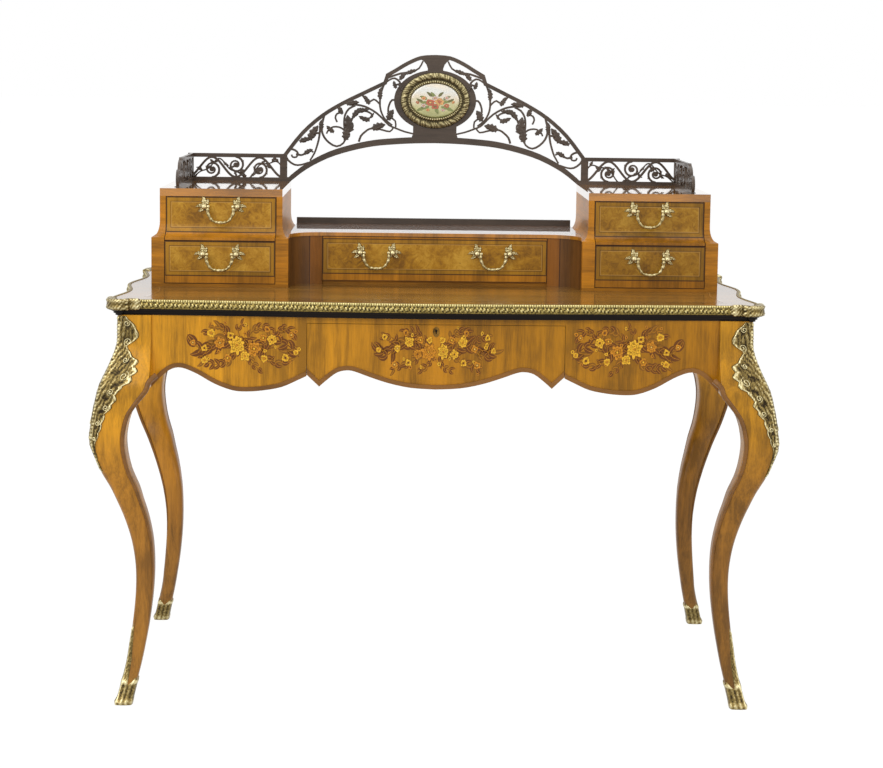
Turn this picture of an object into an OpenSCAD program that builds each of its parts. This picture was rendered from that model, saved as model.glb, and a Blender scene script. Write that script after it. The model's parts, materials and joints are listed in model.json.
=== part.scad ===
// Walnut writing table with a drawer cabinet, a pierced gallery and gilt mounts.
// Millimetres. The origin is on the floor under the middle, +Z is up, the front faces -Y.

/* [Table] */
// Height of the writing surface above the floor
table_h = 749; // [735:1:765]
// Half of the width of the top, at the middle of its sides
half_w = 600; // [592:1:604]
// From the middle of the table to its straight rear edge
half_d = 286; // [282:1:292]
// How far the front edge of the top swells forward at its middle
top_bow = 22; // [14:1:26]
// Thickness of the boards of the frieze
apron_t = 20; // [18:0.5:23]
// Height of the dark bead along the lower edge of the frieze
bead_h = 8; // [6:0.5:10]

/* [Cabinet] */
// Height of the two side cabinets above the writing surface
cabinet_h = 188; // [186:1:196]
// Height of the middle shelf above the writing surface
shelf_h = 102; // [100:1:106]
// Wall thickness of the small drawer boxes
box_t = 7; // [5:0.5:9]
// Gap all round a drawer front
front_gap = 0.8; // [0.5:0.1:1.2]

/* [Gallery] */
// Thickness of the pierced gallery boards
fret_t = 6; // [4.5:0.5:7]
// Width of the thin scroll strokes of the gallery
stroke_w = 4.6; // [4:0.2:6]
// Height of the straight gallery
gallery_h = 56; // [54:1:58]

/* [Handles] */
// Diameter of the swinging bail where it turns in its posts
pin_d = 4; // [3.4:0.2:4.6]
// Distance from the hinge line of a bail down to its lowest point
bail_drop = 31; // [28:1:33]
// Distance from a drawer front to the hinge line of its bail
post_out = 12; // [11:0.5:14]

/* [Lock] */
// How far the lock bolt rises
bolt_rise = 8; // [6:0.5:9]

/* [Hidden] */
$fn = 48;
glue = 0.05;
slide_gap = 0.4;
pin_gap = 0.06;
walnut = [0.52, 0.31, 0.13];
dark_walnut = [0.27, 0.16, 0.09];
burr = [0.62, 0.38, 0.15];
ebony = [0.10, 0.08, 0.07];
brass = [0.72, 0.58, 0.28];
drawer_wood = [0.66, 0.50, 0.30];
steel = [0.45, 0.45, 0.47];
enamel = [0.85, 0.82, 0.74];

board_t = 16;
moulding_t = 12;
rail_z = table_h - board_t - moulding_t;
low = rail_z / 721;
post_x = half_w - 20;
post_y = half_d - 16;
post_s = 60;
inner_x = post_x - post_s;
inner_y = post_y - post_s;
face_in = 6;
front_y = post_y - face_in;
side_x = post_x - face_in;
back_of_front = front_y - apron_t;
open_x = 236.5;
drop_x = open_x - 23.5;
front_bow = 8;

brass_w = 9;
field_in = 62;
field_t = 3;
corner_r = 27;
corner_x = half_w - 29;
corner_y = half_d - 24;

cab_inset = 184.5;
cab_cx = half_w - cab_inset;
cab_open = 107.1;
cab_low = 131.5;
cab_up = 118.5;
cab_front_low = 47;
cab_front_up = 19;
cab_back = half_d - 16;
panel_t = 6;
step_z = table_h + 95;
flare_z = table_h + 124;
cab_z = table_h + cabinet_h;
cab_top_t = 15;
cab_floor_t = 6;
divider_z = table_h + 89;
divider_y = 1;
shelf_z = table_h + shelf_h;
shelf_t = 7;
upstand_h = 12;
centre_y = 32;
cove_r = 62;
cove_t = 8;
centre_x = cab_cx - cab_low - cove_r;
centre_t = 18;
centre_end = cab_cx - cab_low - glue;
guide_t = 8;

upper_lo = divider_z + 0.5;
upper_hi = cab_z - cab_top_t - front_gap;
lower_lo = table_h + cab_floor_t + front_gap;
lower_hi = divider_z - 0.5;
upper_in = 0;
lower_in = -27;
box_in = cab_back - panel_t - 22;
tongue = 6;

fret_y = cab_back - 8;
fret_x = cab_cx + cab_up - 24;
arch_foot = cab_cx - cab_up;
arch_x = arch_foot + 16;
boss_z = cab_z + 170;

bolt_w = 12;
bolt_t = 4;
strike_gap = 1.2;
lock_w = 44;
lock_h = 30;
lock_t = 12;
key_z = rail_z - 24;
rail_t = 11.5;
drawer_top = rail_z - rail_t - front_gap;

bail_half = 24;
post_half = 32;
post_w = 8;

// Smooth curves

function cr(a, b, c, d, t) =
    0.5 * (2 * b + (c - a) * t + (2 * a - 5 * b + 4 * c - d) * t * t
    + (3 * b - a - 3 * c + d) * t * t * t);

function smooth(p, n) = [
    for (i = [0:len(p) - 2])
        for (k = [0:n - 1])
            cr(p[max(0, i - 1)], p[i], p[i + 1], p[min(len(p) - 1, i + 2)], k / n),
    p[len(p) - 1]
];

function flip(p) = [for (i = [len(p) - 1:-1:0]) [-p[i][0], p[i][1]]];
function back(p) = [for (i = [len(p) - 1:-1:0]) p[i]];
function arc(cx, cy, r, a, b, n) =
    [for (i = [0:n]) let (t = a + (b - a) * i / n) [cx + r * cos(t), cy + r * sin(t)]];
function oval(cx, cy, a, b, n) =
    [for (i = [0:n - 1]) [cx + a * cos(360 * i / n), cy + b * sin(360 * i / n)]];

// A solid skinned over a stack of rings, lowest ring first

module skin(rings) {
    n = len(rings[0]);
    m = len(rings);
    polyhedron(
        points = [for (r = rings) for (p = r) p],
        faces = concat(
            [[for (k = [0:n - 1]) k]],
            [[for (k = [n - 1:-1:0]) (m - 1) * n + k]],
            [for (i = [0:m - 2]) for (k = [0:n - 1])
                [i * n + k, (i + 1) * n + k, (i + 1) * n + (k + 1) % n]],
            [for (i = [0:m - 2]) for (k = [0:n - 1])
                [i * n + k, (i + 1) * n + (k + 1) % n, i * n + (k + 1) % n]]
        )
    );
}

module block(x0, x1, y0, y1, z0, z1) {
    translate([x0, y0, z0]) cube([x1 - x0, y1 - y0, z1 - z0]);
}

// Cabriole leg of the corner at +X and +Y. Each row holds the height, how far the outer
// corner stands out from the post, the extra kick towards Y, the width and the rounding.

leg_rows = [
    [3, 2.6, 26, 28, 9],
    [40, -7, 24, 27, 9],
    [75, -15, 22, 27, 9],
    [110, -19.5, 19, 29, 9.5],
    [150, -24, 17, 31, 10],
    [200, -28, 14, 32.5, 10],
    [250, -27.5, 11, 35, 11],
    [300, -20.5, 9, 39.5, 12],
    [345, -8, 6, 44, 13],
    [375, 3, 4, 47, 14],
    [403, 14, 2, 50.5, 14],
    [430, 27, 0, 53.5, 14],
    [456, 37, -2, 57, 14],
    [488, 46, -5, 62, 14],
    [515, 46, -6, 64, 14],
    [545, 42, -6, 68, 13],
    [573, 36, -3, 82, 12],
    [595, 30, 0, 92, 10],
    [620, 19, 0, 81, 8],
    [645, 8, 0, 70, 5],
    [673, 0, 0, 62, 4],
    [721, 0, 0, 62, 4]
];
leg_fine = smooth(leg_rows, 2);
ear_z = 588 * low;

function leg_ring(row, g, z) =
    let (r = row[4] + g, x1 = post_x + row[1] + g, y1 = post_y + row[1] + row[2] + g)
    let (x0 = x1 - row[3] - 2 * g, y0 = y1 - row[3] - 2 * g)
    [for (c = [0:3]) for (k = [0:3])
        let (a = c * 90 + k * 30)
        [(c == 0 || c == 3 ? x1 - r : x0 + r) + r * cos(a),
         (c < 2 ? y1 - r : y0 + r) + r * sin(a), z]];

module leg_skin(g, z0, z1) {
    skin([for (row = leg_fine) if (row[0] >= z0 && row[0] <= z1) leg_ring(row, g, row[0] * low)]);
}

module leg_base() {
    color(walnut) difference() {
        leg_skin(0, 0, 800);
        block(0, inner_x, 0, post_y + 90, ear_z, rail_z + 1);
        block(0, post_x + 90, 0, inner_y, ear_z, rail_z + 1);
        block(inner_x - 1, inner_x + 25, front_y - apron_t / 2 - 4, front_y - apron_t / 2 + 4,
            rail_z - 86, rail_z - 14);
        block(side_x - apron_t / 2 - 4, side_x - apron_t / 2 + 4, inner_y - 1, inner_y + 25,
            rail_z - 86, rail_z - 14);
    }
}

module place(sx, sy) {
    mirror([sx < 0 ? 1 : 0, 0, 0]) mirror([0, sy < 0 ? 1 : 0, 0]) children();
}

module leg_front_left() place(-1, -1) leg_base();
module leg_front_right() place(1, -1) leg_base();
module leg_rear_left() place(-1, 1) leg_base();
module leg_rear_right() place(1, 1) leg_base();

// Gilt shoes: a cup with a floor, open upwards, its rim cut into four leaf tips

module sabot() {
    rows = [for (row = leg_fine) if (row[0] <= 93) row];
    difference() {
        skin(concat([leg_ring(rows[0], 1.6, 0)],
            [for (row = rows) leg_ring(row, 2.6 - row[0] / 93, row[0] * low)]));
        leg_skin(glue, 0, 200);
        for (a = [0, 90])
            translate([post_x - 29, post_y - 9, 96 * low]) rotate([90, 0, a])
                cylinder(r = 15, h = 120, center = true, $fn = 24);
    }
}

module sabots() {
    color(brass) {
        place(-1, -1) sabot();
        place(1, -1) sabot();
        place(-1, 1) sabot();
        place(1, 1) sabot();
    }
}

// Gilt knee mounts: a shell over the outer corner, trimmed to a scalloped leaf

knee_w = [[436, 1], [450, 8], [480, 16], [510, 24], [540, 30], [570, 35], [600, 33], [630, 25],
    [655, 20], [680, 24], [705, 33], [719, 30]];

module knee_leaf() {
    side = [for (i = [0:46]) let (z = 436 + i * 283 / 46)
        [lookup(z, knee_w) + 2.4 * sin(i * 72), z * low]];
    translate([post_x, post_y, 0]) rotate([0, 0, 45]) intersection() {
        rotate([90, 0, 90]) translate([0, 0, -45]) linear_extrude(140)
            polygon(concat(side, flip(side)));
        upright(-60, 60) polygon([for (p = [[-42, 722], [-42, 640], [-10, 600], [22, 545],
            [26, 500], [12, 450], [8, 436], [95, 436], [95, 722]]) [p[0], p[1] * low]]);
    }
}

module knee_mount() {
    intersection() {
        difference() {
            leg_skin(3.4, 425, 722);
            leg_skin(glue, 400, 800);
            block(0, inner_x + 14, 0, post_y + 90, 400, rail_z + 1);
            block(0, post_x + 90, 0, inner_y + 14, 400, rail_z + 1);
        }
        knee_leaf();
    }
}

module knee_mounts() {
    color(brass) {
        place(-1, -1) knee_mount();
        place(1, -1) knee_mount();
        place(-1, 1) knee_mount();
        place(1, 1) knee_mount();
    }
}

// Lower edge of the frieze: half outlines from the middle outwards, height above the floor,
// drawn over one span and stretched to the span between x0 and x1

function between(x0, x1, drawn, p) = [for (q = p) [x0 + q[0] * (x1 - x0) / drawn, q[1]]];

drawer_edge = concat(
    between(0, drop_x, 213, smooth([[0, 590], [45, 592.5], [85, 600.5], [120, 611.5],
        [148, 621.5], [163, 623.5], [180, 619.5], [197, 607], [213, 593]], 3)),
    [[open_x + 20, 634]]);
panel_edge = concat(
    [[open_x - 20, 627]],
    between(open_x, inner_x, 283.5, smooth([[-3, 613.5], [18.5, 603], [45.5, 591],
        [78.5, 584.5], [108.5, 582], [135.5, 584], [168.5, 596], [200.5, 614], [227.5, 624.5],
        [245.5, 622.5], [261.5, 611.5], [275.5, 597], [288.5, 583], [303.5, 566]], 3)));
rear_edge = between(0, inner_x, 520, smooth([[0, 591], [90, 594], [180, 604], [270, 615],
    [350, 621], [430, 624.5], [464, 624.5], [482, 622.5], [498, 611.5], [512, 597], [525, 583],
    [540, 566]], 3));
side_edge = between(0, inner_y, 210, smooth([[0, 592], [45, 595], [90, 606], [120, 616],
    [150, 623.5], [172, 622.5], [188, 611.5], [202, 597], [215, 583], [230, 566]], 3));

function lowered(p) = [for (q = p) [q[0], q[1] * low]];
function whole(p) = concat(lowered(flip(p)), lowered(p));
function from_post(p, x) = [for (q = p) [q[0] + x, q[1]]];

module above(edge, top) {
    n = len(edge);
    polygon(concat(edge, [[edge[n - 1][0], top], [edge[0][0], top]]));
}

module board_shape(edge, x0, x1, top) {
    intersection() {
        offset(delta = -bead_h) above(edge, top + 40);
        translate([x0, 400]) square([x1 - x0, top - 400]);
    }
}

module bead_shape(edge, x0, x1) {
    intersection() {
        difference() {
            above(edge, rail_z);
            offset(delta = glue - bead_h) above(edge, rail_z + 40);
        }
        translate([x0, 400]) square([x1 - x0, rail_z - 425]);
    }
}

module upright(y0, y1) {
    translate([0, y1, 0]) rotate([90, 0, 0]) linear_extrude(y1 - y0) children();
}

function front_line(x) = -front_y - front_bow * (1 + cos(180 * x / inner_x)) / 2;

module front_slab(out) {
    steps = [for (i = [-26:26]) i * inner_x / 26];
    translate([0, 0, 500]) linear_extrude(rail_z - 500)
        polygon(concat([for (x = steps) [x, front_line(x) - out]],
            [[inner_x, out - back_of_front], [-inner_x, out - back_of_front]]));
}

module front_apron() {
    difference() {
        union() {
            intersection() {
                upright(-front_y - 20, -back_of_front)
                    board_shape(lowered(panel_edge), open_x, inner_x - glue, rail_z - glue);
                front_slab(0);
            }
            block(inner_x - 10, inner_x + 24, -front_y + apron_t / 2 - 4 + glue,
                -front_y + apron_t / 2 + 4 - glue, rail_z - 85, rail_z - 15);
        }
        block(open_x - 1, open_x + 18 + glue, -back_of_front - tongue - glue, 0,
            rail_z - 92, rail_z - 10);
    }
}

module front_aprons() {
    color(walnut) {
        front_apron();
        mirror([1, 0, 0]) front_apron();
    }
}

module rear_apron() {
    color(walnut) difference() {
        union() {
            upright(back_of_front, front_y)
                board_shape(whole(rear_edge), glue - inner_x, inner_x - glue, rail_z - glue);
            for (s = [-1, 1])
                translate([s * (inner_x + 7) - 17, front_y - apron_t / 2 - 4 + glue, rail_z - 85])
                    cube([34, 8 - 2 * glue, 70]);
        }
        for (s = [-1, 1])
            translate([s * (open_x + 9) - 9 - glue, back_of_front - 1, rail_z - 92])
                cube([18 + 2 * glue, tongue + 1 + glue, 82]);
    }
}

side_half = inner_y - glue;

module side_apron() {
    translate([side_x, 0, 0]) rotate([0, 0, -90]) {
        upright(-apron_t, 0)
            board_shape(whole(side_edge), -side_half, side_half,
                rail_z - glue);
        for (s = [-1, 1])
            translate([s * (inner_y + 7) - 17, -apron_t / 2 - 4 + glue, rail_z - 85])
                cube([34, 8 - 2 * glue, 70]);
    }
}

module side_aprons() {
    color(walnut) {
        side_apron();
        mirror([1, 0, 0]) side_apron();
    }
}

// Dark beads glued along the lower edges, two millimetres proud of the boards

bead_out = 2;

module fixed_front_bead() {
    intersection() {
        upright(-front_y - 30, -back_of_front + bead_out)
            bead_shape(lowered(panel_edge), open_x, inner_x - glue);
        front_slab(bead_out);
    }
}

module side_bead() {
    translate([side_x, 0, 0]) rotate([0, 0, -90])
        upright(-apron_t - bead_out, bead_out)
            bead_shape(whole(side_edge), -side_half, side_half);
}

module apron_beads() {
    color(dark_walnut) {
        fixed_front_bead();
        mirror([1, 0, 0]) fixed_front_bead();
        side_bead();
        mirror([1, 0, 0]) side_bead();
        upright(back_of_front - bead_out, front_y + bead_out)
            bead_shape(whole(rear_edge), glue - inner_x, inner_x - glue);
    }
}

// Boards from front to rear beside the frieze drawer, each with a runner and a kicker

runner_top = rail_z - 87.5 + 1;
partition_end = back_of_front + tongue;

module frieze_partition() {
    difference() {
        union() {
            block(open_x, open_x + 18, -partition_end, partition_end, rail_z - 92 + glue,
                rail_z - 10 - glue);
            block(open_x, open_x + 18, 25 - back_of_front, back_of_front - glue,
                rail_z - 20, rail_z - glue);
            block(open_x - 14, open_x + 1, 3 - back_of_front, back_of_front - 12,
                rail_z - 92 + glue, runner_top);
            block(open_x - 14, open_x + 1, 25 - back_of_front, back_of_front - 12,
                rail_z - 10, rail_z - glue);
        }
        block(open_x - 2, open_x + 8 + glue, -back_of_front - 1, 20 - back_of_front + glue,
            drawer_top + front_gap - glue, rail_z);
    }
}

module frieze_partitions() {
    color(drawer_wood) {
        frieze_partition();
        mirror([1, 0, 0]) frieze_partition();
    }
}

module front_top_rail() {
    rail_lo = drawer_top + front_gap;
    color(walnut) difference() {
        union() {
            intersection() {
                block(glue - open_x, open_x - glue, -front_y - 20, -back_of_front, rail_lo,
                    rail_z - glue);
                front_slab(0);
            }
            block(-open_x - 8, open_x + 8, glue - back_of_front, 20 - back_of_front, rail_lo,
                rail_z - glue);
            block(glue - open_x, open_x - glue, -back_of_front - 2, 2 - back_of_front, rail_lo,
                rail_z - glue);
        }
        block(-bolt_w / 2 - strike_gap, bolt_w / 2 + strike_gap, lock_y - strike_gap,
            lock_y + bolt_t + strike_gap, rail_lo - 1, rail_lo + bolt_rise + 1);
    }
}

// Frieze drawer with its lock

front_half = open_x - front_gap;
box_half = open_x - front_gap;
frieze_back = back_of_front + 1.5;
lock_y = -frieze_back - 5;

module keyhole(x, z, y0, y1, s) {
    translate([x, y1, z]) rotate([90, 0, 0]) linear_extrude(y1 - y0) {
        translate([0, 1.5 * s]) circle(d = 5 * s, $fn = 24);
        translate([-1.2 * s, -5 * s]) square([2.4 * s, 6 * s]);
    }
}

module frieze_drawer_front() {
    color(walnut) difference() {
        intersection() {
            upright(-front_y - 20, -frieze_back)
                board_shape(whole(drawer_edge), -front_half, front_half, drawer_top);
            front_slab(0);
        }
        block(-lock_w / 2 - glue, lock_w / 2 + glue, -frieze_back - 8 - glue, 0,
            drawer_top - lock_h - glue, drawer_top + 1);
        for (s = [-1, 1])
            translate([s * (box_half - 5) - 5 - glue, -frieze_back - tongue - glue, frieze_box_z - glue])
                cube([10 + 2 * glue, 40, frieze_box_h + 2 * glue]);
        keyhole(0, key_z, -front_y - 20, 0, 1);
        escutcheon_shape(glue);
    }
}

module frieze_drawer_bead() {
    color(dark_walnut) intersection() {
        upright(-front_y - 30, -frieze_back)
            bead_shape(whole(drawer_edge), -front_half, front_half);
        front_slab(bead_out);
    }
}

frieze_box_z = runner_top + slide_gap;
frieze_box_h = 66;
frieze_end = back_of_front - 20;

module frieze_drawer_box() {
    color(drawer_wood) {
        z1 = frieze_box_z + frieze_box_h;
        for (s = [-1, 1])
            translate([s * (box_half - 5) - 5, -frieze_back - tongue, frieze_box_z])
                cube([10, frieze_end + frieze_back + tongue, frieze_box_h]);
        block(-box_half + 1, box_half - 1, frieze_end - 10, frieze_end, frieze_box_z, z1);
        block(-box_half + 1, box_half - 1, glue - frieze_back, frieze_end - 1, frieze_box_z,
            frieze_box_z + 6);
    }
}

module lock_case() {
    color(steel) difference() {
        block(-lock_w / 2, lock_w / 2, -frieze_back - 8, -frieze_back + lock_t - 8,
            drawer_top - lock_h, drawer_top - 0.2);
        block(-bolt_w / 2 - 0.4, bolt_w / 2 + 0.4, lock_y - 0.4, lock_y + bolt_t + 0.4,
            drawer_top - 21, drawer_top + 1);
        keyhole(0, key_z, -frieze_back - 9, lock_y, 1);
    }
}

module lock_bolt() {
    color(steel)
        block(-bolt_w / 2, bolt_w / 2, lock_y, lock_y + bolt_t, drawer_top - 20, drawer_top - 0.4);
}

module escutcheon_shape(g) {
    y = front_line(0);
    translate([0, y + 2.5 + g, key_z - 1]) rotate([90, 0, 0])
        linear_extrude(3.3 + g) offset(delta = g) polygon(oval(0, 0, 6, 9.5, 36));
}

module escutcheon() {
    color(brass) difference() {
        escutcheon_shape(0);
        keyhole(0, key_z, -front_y - 30, 0, 0.9);
    }
}

// Top: bowed front, wavy sides, straight rear, four rounded projecting corners

side_step = (corner_y - 22) / 12;

function side_line(i) = half_w - 8 + 8 * cos(360 * i / 12.5);
function bow_line(x) = -half_d + 8 - top_bow * (1 + cos(180 * x / (corner_x - 11))) / 2;

module top_shape() {
    fx = corner_x - 11;
    right_side = [for (i = [-12:12]) [side_line(i), i * side_step]];
    polygon(concat(
        [for (i = [-20:20]) [i * fx / 20, bow_line(i * fx / 20)]],
        arc(corner_x, -corner_y - 1, corner_r, -112, 20, 9),
        right_side,
        arc(corner_x, corner_y + 1, corner_r, -20, 112, 9),
        [[fx, half_d], [-fx, half_d]],
        arc(-corner_x, corner_y + 1, corner_r, 68, 200, 9),
        [for (q = back(right_side)) [-q[0], q[1]]],
        arc(-corner_x, -corner_y - 1, corner_r, 160, 292, 9)));
}

module layer(z0, z1, d) {
    translate([0, 0, z0]) linear_extrude(z1 - z0) offset(delta = d) top_shape();
}

module ring_layer(z0, z1, d_out, d_in) {
    translate([0, 0, z0]) linear_extrude(z1 - z0) difference() {
        offset(delta = d_out) top_shape();
        offset(delta = d_in) top_shape();
    }
}

module table_top() {
    color(walnut) difference() {
        layer(table_h - board_t, table_h, -brass_w - glue);
        translate([0, 0, table_h - field_t]) linear_extrude(field_t + 1) field_shape(glue);
    }
}

module field_shape(g) {
    offset(delta = g) intersection() {
        offset(delta = -field_in) top_shape();
        translate([-half_w, -half_d - 40]) square([2 * half_w, half_d + 40 - cab_front_low - 12]);
    }
}

module top_field() {
    color(burr) translate([0, 0, table_h - field_t + glue]) linear_extrude(field_t - glue)
        field_shape(0);
}

module brass_edge() {
    z = table_h - board_t;
    color(brass) {
        ring_layer(z, z + 2.5, -3, -brass_w);
        ring_layer(z + 2.4, z + 5, -1, -brass_w);
        ring_layer(z + 4.9, z + 12, 0, -brass_w);
        ring_layer(z + 11.9, z + 14.5, -1.5, -brass_w);
        ring_layer(z + 14.4, table_h + 1, -4, -brass_w);
    }
}

module under_moulding() {
    color(ebony) {
        ring_layer(rail_z, rail_z + 4, -13, -64);
        ring_layer(rail_z + 3.9, rail_z + 8, -9.5, -64);
        ring_layer(rail_z + 7.9, rail_z + moulding_t - glue, -6, -64);
    }
}

module clasp(sx, sy) {
    z = table_h - board_t;
    place(sx, sy) intersection() {
        mirror([0, sy < 0 ? 1 : 0, 0]) union() {
            ring_layer(z - 2, table_h + 1 + glue, 5, glue);
            ring_layer(table_h + 1 + glue, table_h + 3.5, 5, -12);
        }
        translate([corner_x, corner_y, z - 5]) cylinder(r = 42, h = 40);
    }
}

module corner_clasps() {
    color(brass) {
        clasp(-1, -1);
        clasp(1, -1);
        clasp(-1, 1);
        clasp(1, 1);
    }
}

// Side cabinets: one body with coved shoulders, cut into boards and drawer fronts

function shoulder(lo, up) = concat([[lo, step_z]],
    [for (i = [0:8]) let (a = i * 90 / 8, w = (lo - up) * 0.85)
        [up + w * (1 - sin(a)), flare_z - (flare_z - step_z - 1) * cos(a)]]);

module cab_body() {
    intersection() {
        upright(-80, cab_back) polygon(concat(
            [[cab_cx + cab_low, table_h + glue]],
            from_post(shoulder(cab_low, cab_up), cab_cx),
            [[cab_cx + cab_up, cab_z], [cab_cx - cab_up, cab_z]],
            back([for (q = shoulder(cab_low, cab_up)) [cab_cx - q[0], q[1]]]),
            [[cab_cx - cab_low, table_h + glue]]));
        rotate([90, 0, 90]) linear_extrude(700) polygon(concat(
            [[cab_back, table_h + glue], [cab_back, cab_z], [-cab_front_up, cab_z]],
            back([for (q = shoulder(cab_front_low, cab_front_up)) [-q[0], q[1]]]),
            [[-cab_front_low, table_h + glue]]));
    }
}

module cab_slice(x0, x1, y0, y1, z0, z1) {
    intersection() {
        cab_body();
        block(x0, x1, y0, y1, z0, z1);
    }
}

floor_z = table_h + cab_floor_t;
roof_z = cab_z - cab_top_t;
cab_l = cab_cx - cab_open;
cab_r = cab_cx + cab_open;
groove = 4;

module cabinet_sides() {
    color(walnut) difference() {
        union() {
            cab_slice(200, cab_l, -80, 400, floor_z + glue, roof_z - glue);
            cab_slice(cab_r, 700, -80, 400, floor_z + glue, roof_z - glue);
        }
        block(cab_l - groove - glue, cab_r + groove + glue, divider_y - glue, cab_back + 1,
            divider_z - 3 - glue, divider_z + 3 + glue);
        block(cab_l - groove - glue, cab_r + groove + glue, cab_back - panel_t - glue,
            cab_back + 1, floor_z, roof_z);
    }
}

module cabinet_top() {
    color(walnut) difference() {
        cab_slice(200, 700, -80, 400, roof_z, cab_z);
        rear_tenons(glue);
        side_tenons(glue);
        arch_tenon(glue);
    }
}

module cabinet_boards() {
    color(drawer_wood) {
        cab_slice(200, 700, -80, 400, table_h, floor_z);
        block(cab_l - groove, cab_r + groove, divider_y, cab_back - panel_t - 2 * glue,
            divider_z - 3, divider_z + 3);
        block(cab_l - groove, cab_r + groove, cab_back - panel_t, cab_back,
            floor_z + glue, roof_z - glue);
    }
}

module cabinet_right_sides() cabinet_sides();
module cabinet_right_top() cabinet_top();
module cabinet_right_boards() cabinet_boards();
module cabinet_left_sides() mirror([1, 0, 0]) cabinet_sides();
module cabinet_left_top() mirror([1, 0, 0]) cabinet_top();
module cabinet_left_boards() mirror([1, 0, 0]) cabinet_boards();

// Middle part: shelf, concave corner panels, boards and a low upstand

module centre_shelf() {
    color(walnut) translate([0, 0, shelf_z - shelf_t]) linear_extrude(shelf_t)
        polygon(concat(
            [[-centre_end, cab_back]],
            [[-centre_end, centre_y - cove_r]],
            arc(-centre_x, centre_y - cove_r, cove_r - 2, 180, 90, 10),
            arc(centre_x, centre_y - cove_r, cove_r - 2, 90, 0, 10),
            [[centre_end, centre_y - cove_r]],
            [[centre_end, cab_back]]));
}

module quadrant() {
    translate([0, 0, floor_z - cab_floor_t + glue])
        linear_extrude(shelf_z - shelf_t - table_h - 2 * glue) intersection() {
            polygon(concat(
                arc(centre_x, centre_y - cove_r, cove_r, 0, 90, 14),
                arc(centre_x, centre_y - cove_r, cove_r + cove_t, 90, 0, 14)));
            translate([centre_x, centre_y - cove_r])
                square([centre_end - centre_x, cove_r + cove_t + 1]);
        }
}

module centre_quadrants() {
    color(walnut) {
        quadrant();
        mirror([1, 0, 0]) quadrant();
    }
}

module centre_boards() {
    z1 = shelf_z - shelf_t - glue;
    y0 = centre_y + cove_t + glue;
    color(drawer_wood) {
        block(-centre_x - guide_t, centre_x + guide_t, y0, cab_back - panel_t - glue,
            table_h + glue, floor_z);
        for (s = [-1, 1])
            translate([s * (centre_x + guide_t / 2) - guide_t / 2, y0, floor_z + glue])
                cube([guide_t, cab_back - panel_t - glue - y0, z1 - floor_z - glue]);
        block(-centre_end, centre_end, cab_back - panel_t, cab_back, table_h + glue, z1);
    }
}

module shelf_upstand() {
    color(dark_walnut) block(-centre_end, centre_end, fret_y - 10, fret_y - 2,
        shelf_z + glue, shelf_z + upstand_h);
}

// Small drawers: a front cut from the cabinet body and an open box

module small_front(z0, z1, y_in, box_z, box_h) {
    difference() {
        cab_slice(cab_l + front_gap, cab_r - front_gap, -80, y_in, z0, z1);
        for (s = [-1, 1])
            translate([cab_cx + s * (small_half - box_t / 2) - box_t / 2 - glue,
                y_in - tongue - glue, box_z - glue])
                cube([box_t + 2 * glue, 40, box_h + 2 * glue]);
    }
}

small_half = cab_open - front_gap - 1.4;

module open_box(cx, half, y_in, z, h, y_end) {
    for (s = [-1, 1])
        translate([cx + s * (half - box_t / 2) - box_t / 2, y_in - tongue, z])
            cube([box_t, y_end - y_in + tongue, h]);
    block(cx - half + 1, cx + half - 1, y_end - box_t, y_end, z, z + h);
    block(cx - half + 1, cx + half - 1, y_in + glue, y_end - 1, z, z + 4);
}

upper_box_z = divider_z + 3 + slide_gap;
upper_box_h = upper_hi - upper_box_z - 4;
lower_box_z = floor_z + slide_gap + 0.5;
lower_box_h = divider_z - 6 - lower_box_z;

upper_handle_z = upper_hi - 18.2;
lower_handle_z = lower_hi - 24.5;

module upper_front() {
    color(burr) difference() {
        small_front(upper_lo, upper_hi, upper_in, upper_box_z, upper_box_h);
        shank_holes(cab_cx, -cab_front_up, upper_handle_z);
    }
}

module lower_front() {
    color(burr) difference() {
        small_front(lower_lo, lower_hi, lower_in, lower_box_z, lower_box_h);
        shank_holes(cab_cx, -cab_front_low, lower_handle_z);
    }
}

module upper_box() {
    color(drawer_wood) open_box(cab_cx, small_half, upper_in, upper_box_z, upper_box_h, box_in);
}

module lower_box() {
    color(drawer_wood) open_box(cab_cx, small_half, lower_in, lower_box_z, lower_box_h, box_in);
}

module right_upper_front() upper_front();
module right_lower_front() lower_front();
module right_upper_box() upper_box();
module right_lower_box() lower_box();
module left_upper_front() mirror([1, 0, 0]) upper_front();
module left_lower_front() mirror([1, 0, 0]) lower_front();
module left_upper_box() mirror([1, 0, 0]) upper_box();
module left_lower_box() mirror([1, 0, 0]) lower_box();

centre_in = centre_y + centre_t;
centre_half = centre_x - front_gap;
centre_hi = shelf_z - shelf_t - front_gap;
centre_box_h = centre_hi - lower_box_z - 5;
centre_handle_x = centre_half - 106.2;
centre_handle_z = centre_hi - 31.2;

module centre_front() {
    color(burr) difference() {
        block(-centre_half, centre_half, centre_y, centre_in, lower_lo, centre_hi);
        for (s = [-1, 1])
            translate([s * (centre_half - 1 - box_t / 2) - box_t / 2 - glue,
                centre_in - tongue - glue, lower_box_z - glue])
                cube([box_t + 2 * glue, 40, centre_box_h + 2 * glue]);
        shank_holes(-centre_handle_x, centre_y, centre_handle_z);
        shank_holes(centre_handle_x, centre_y, centre_handle_z);
    }
}

module centre_box() {
    color(drawer_wood)
        open_box(0, centre_half - 1, centre_in, lower_box_z, centre_box_h, box_in);
}

// Handles: two cast posts with a screwed shank, and a bail whose ends turn in them

shank_d = 4;
shank_in = 12;

module shank_holes(x, y, z) {
    for (s = [-1, 1])
        translate([x + s * post_half, y + shank_in + 0.5, z]) rotate([90, 0, 0])
            cylinder(d = shank_d + 0.1, h = shank_in + 2, $fn = 24);
}

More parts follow.
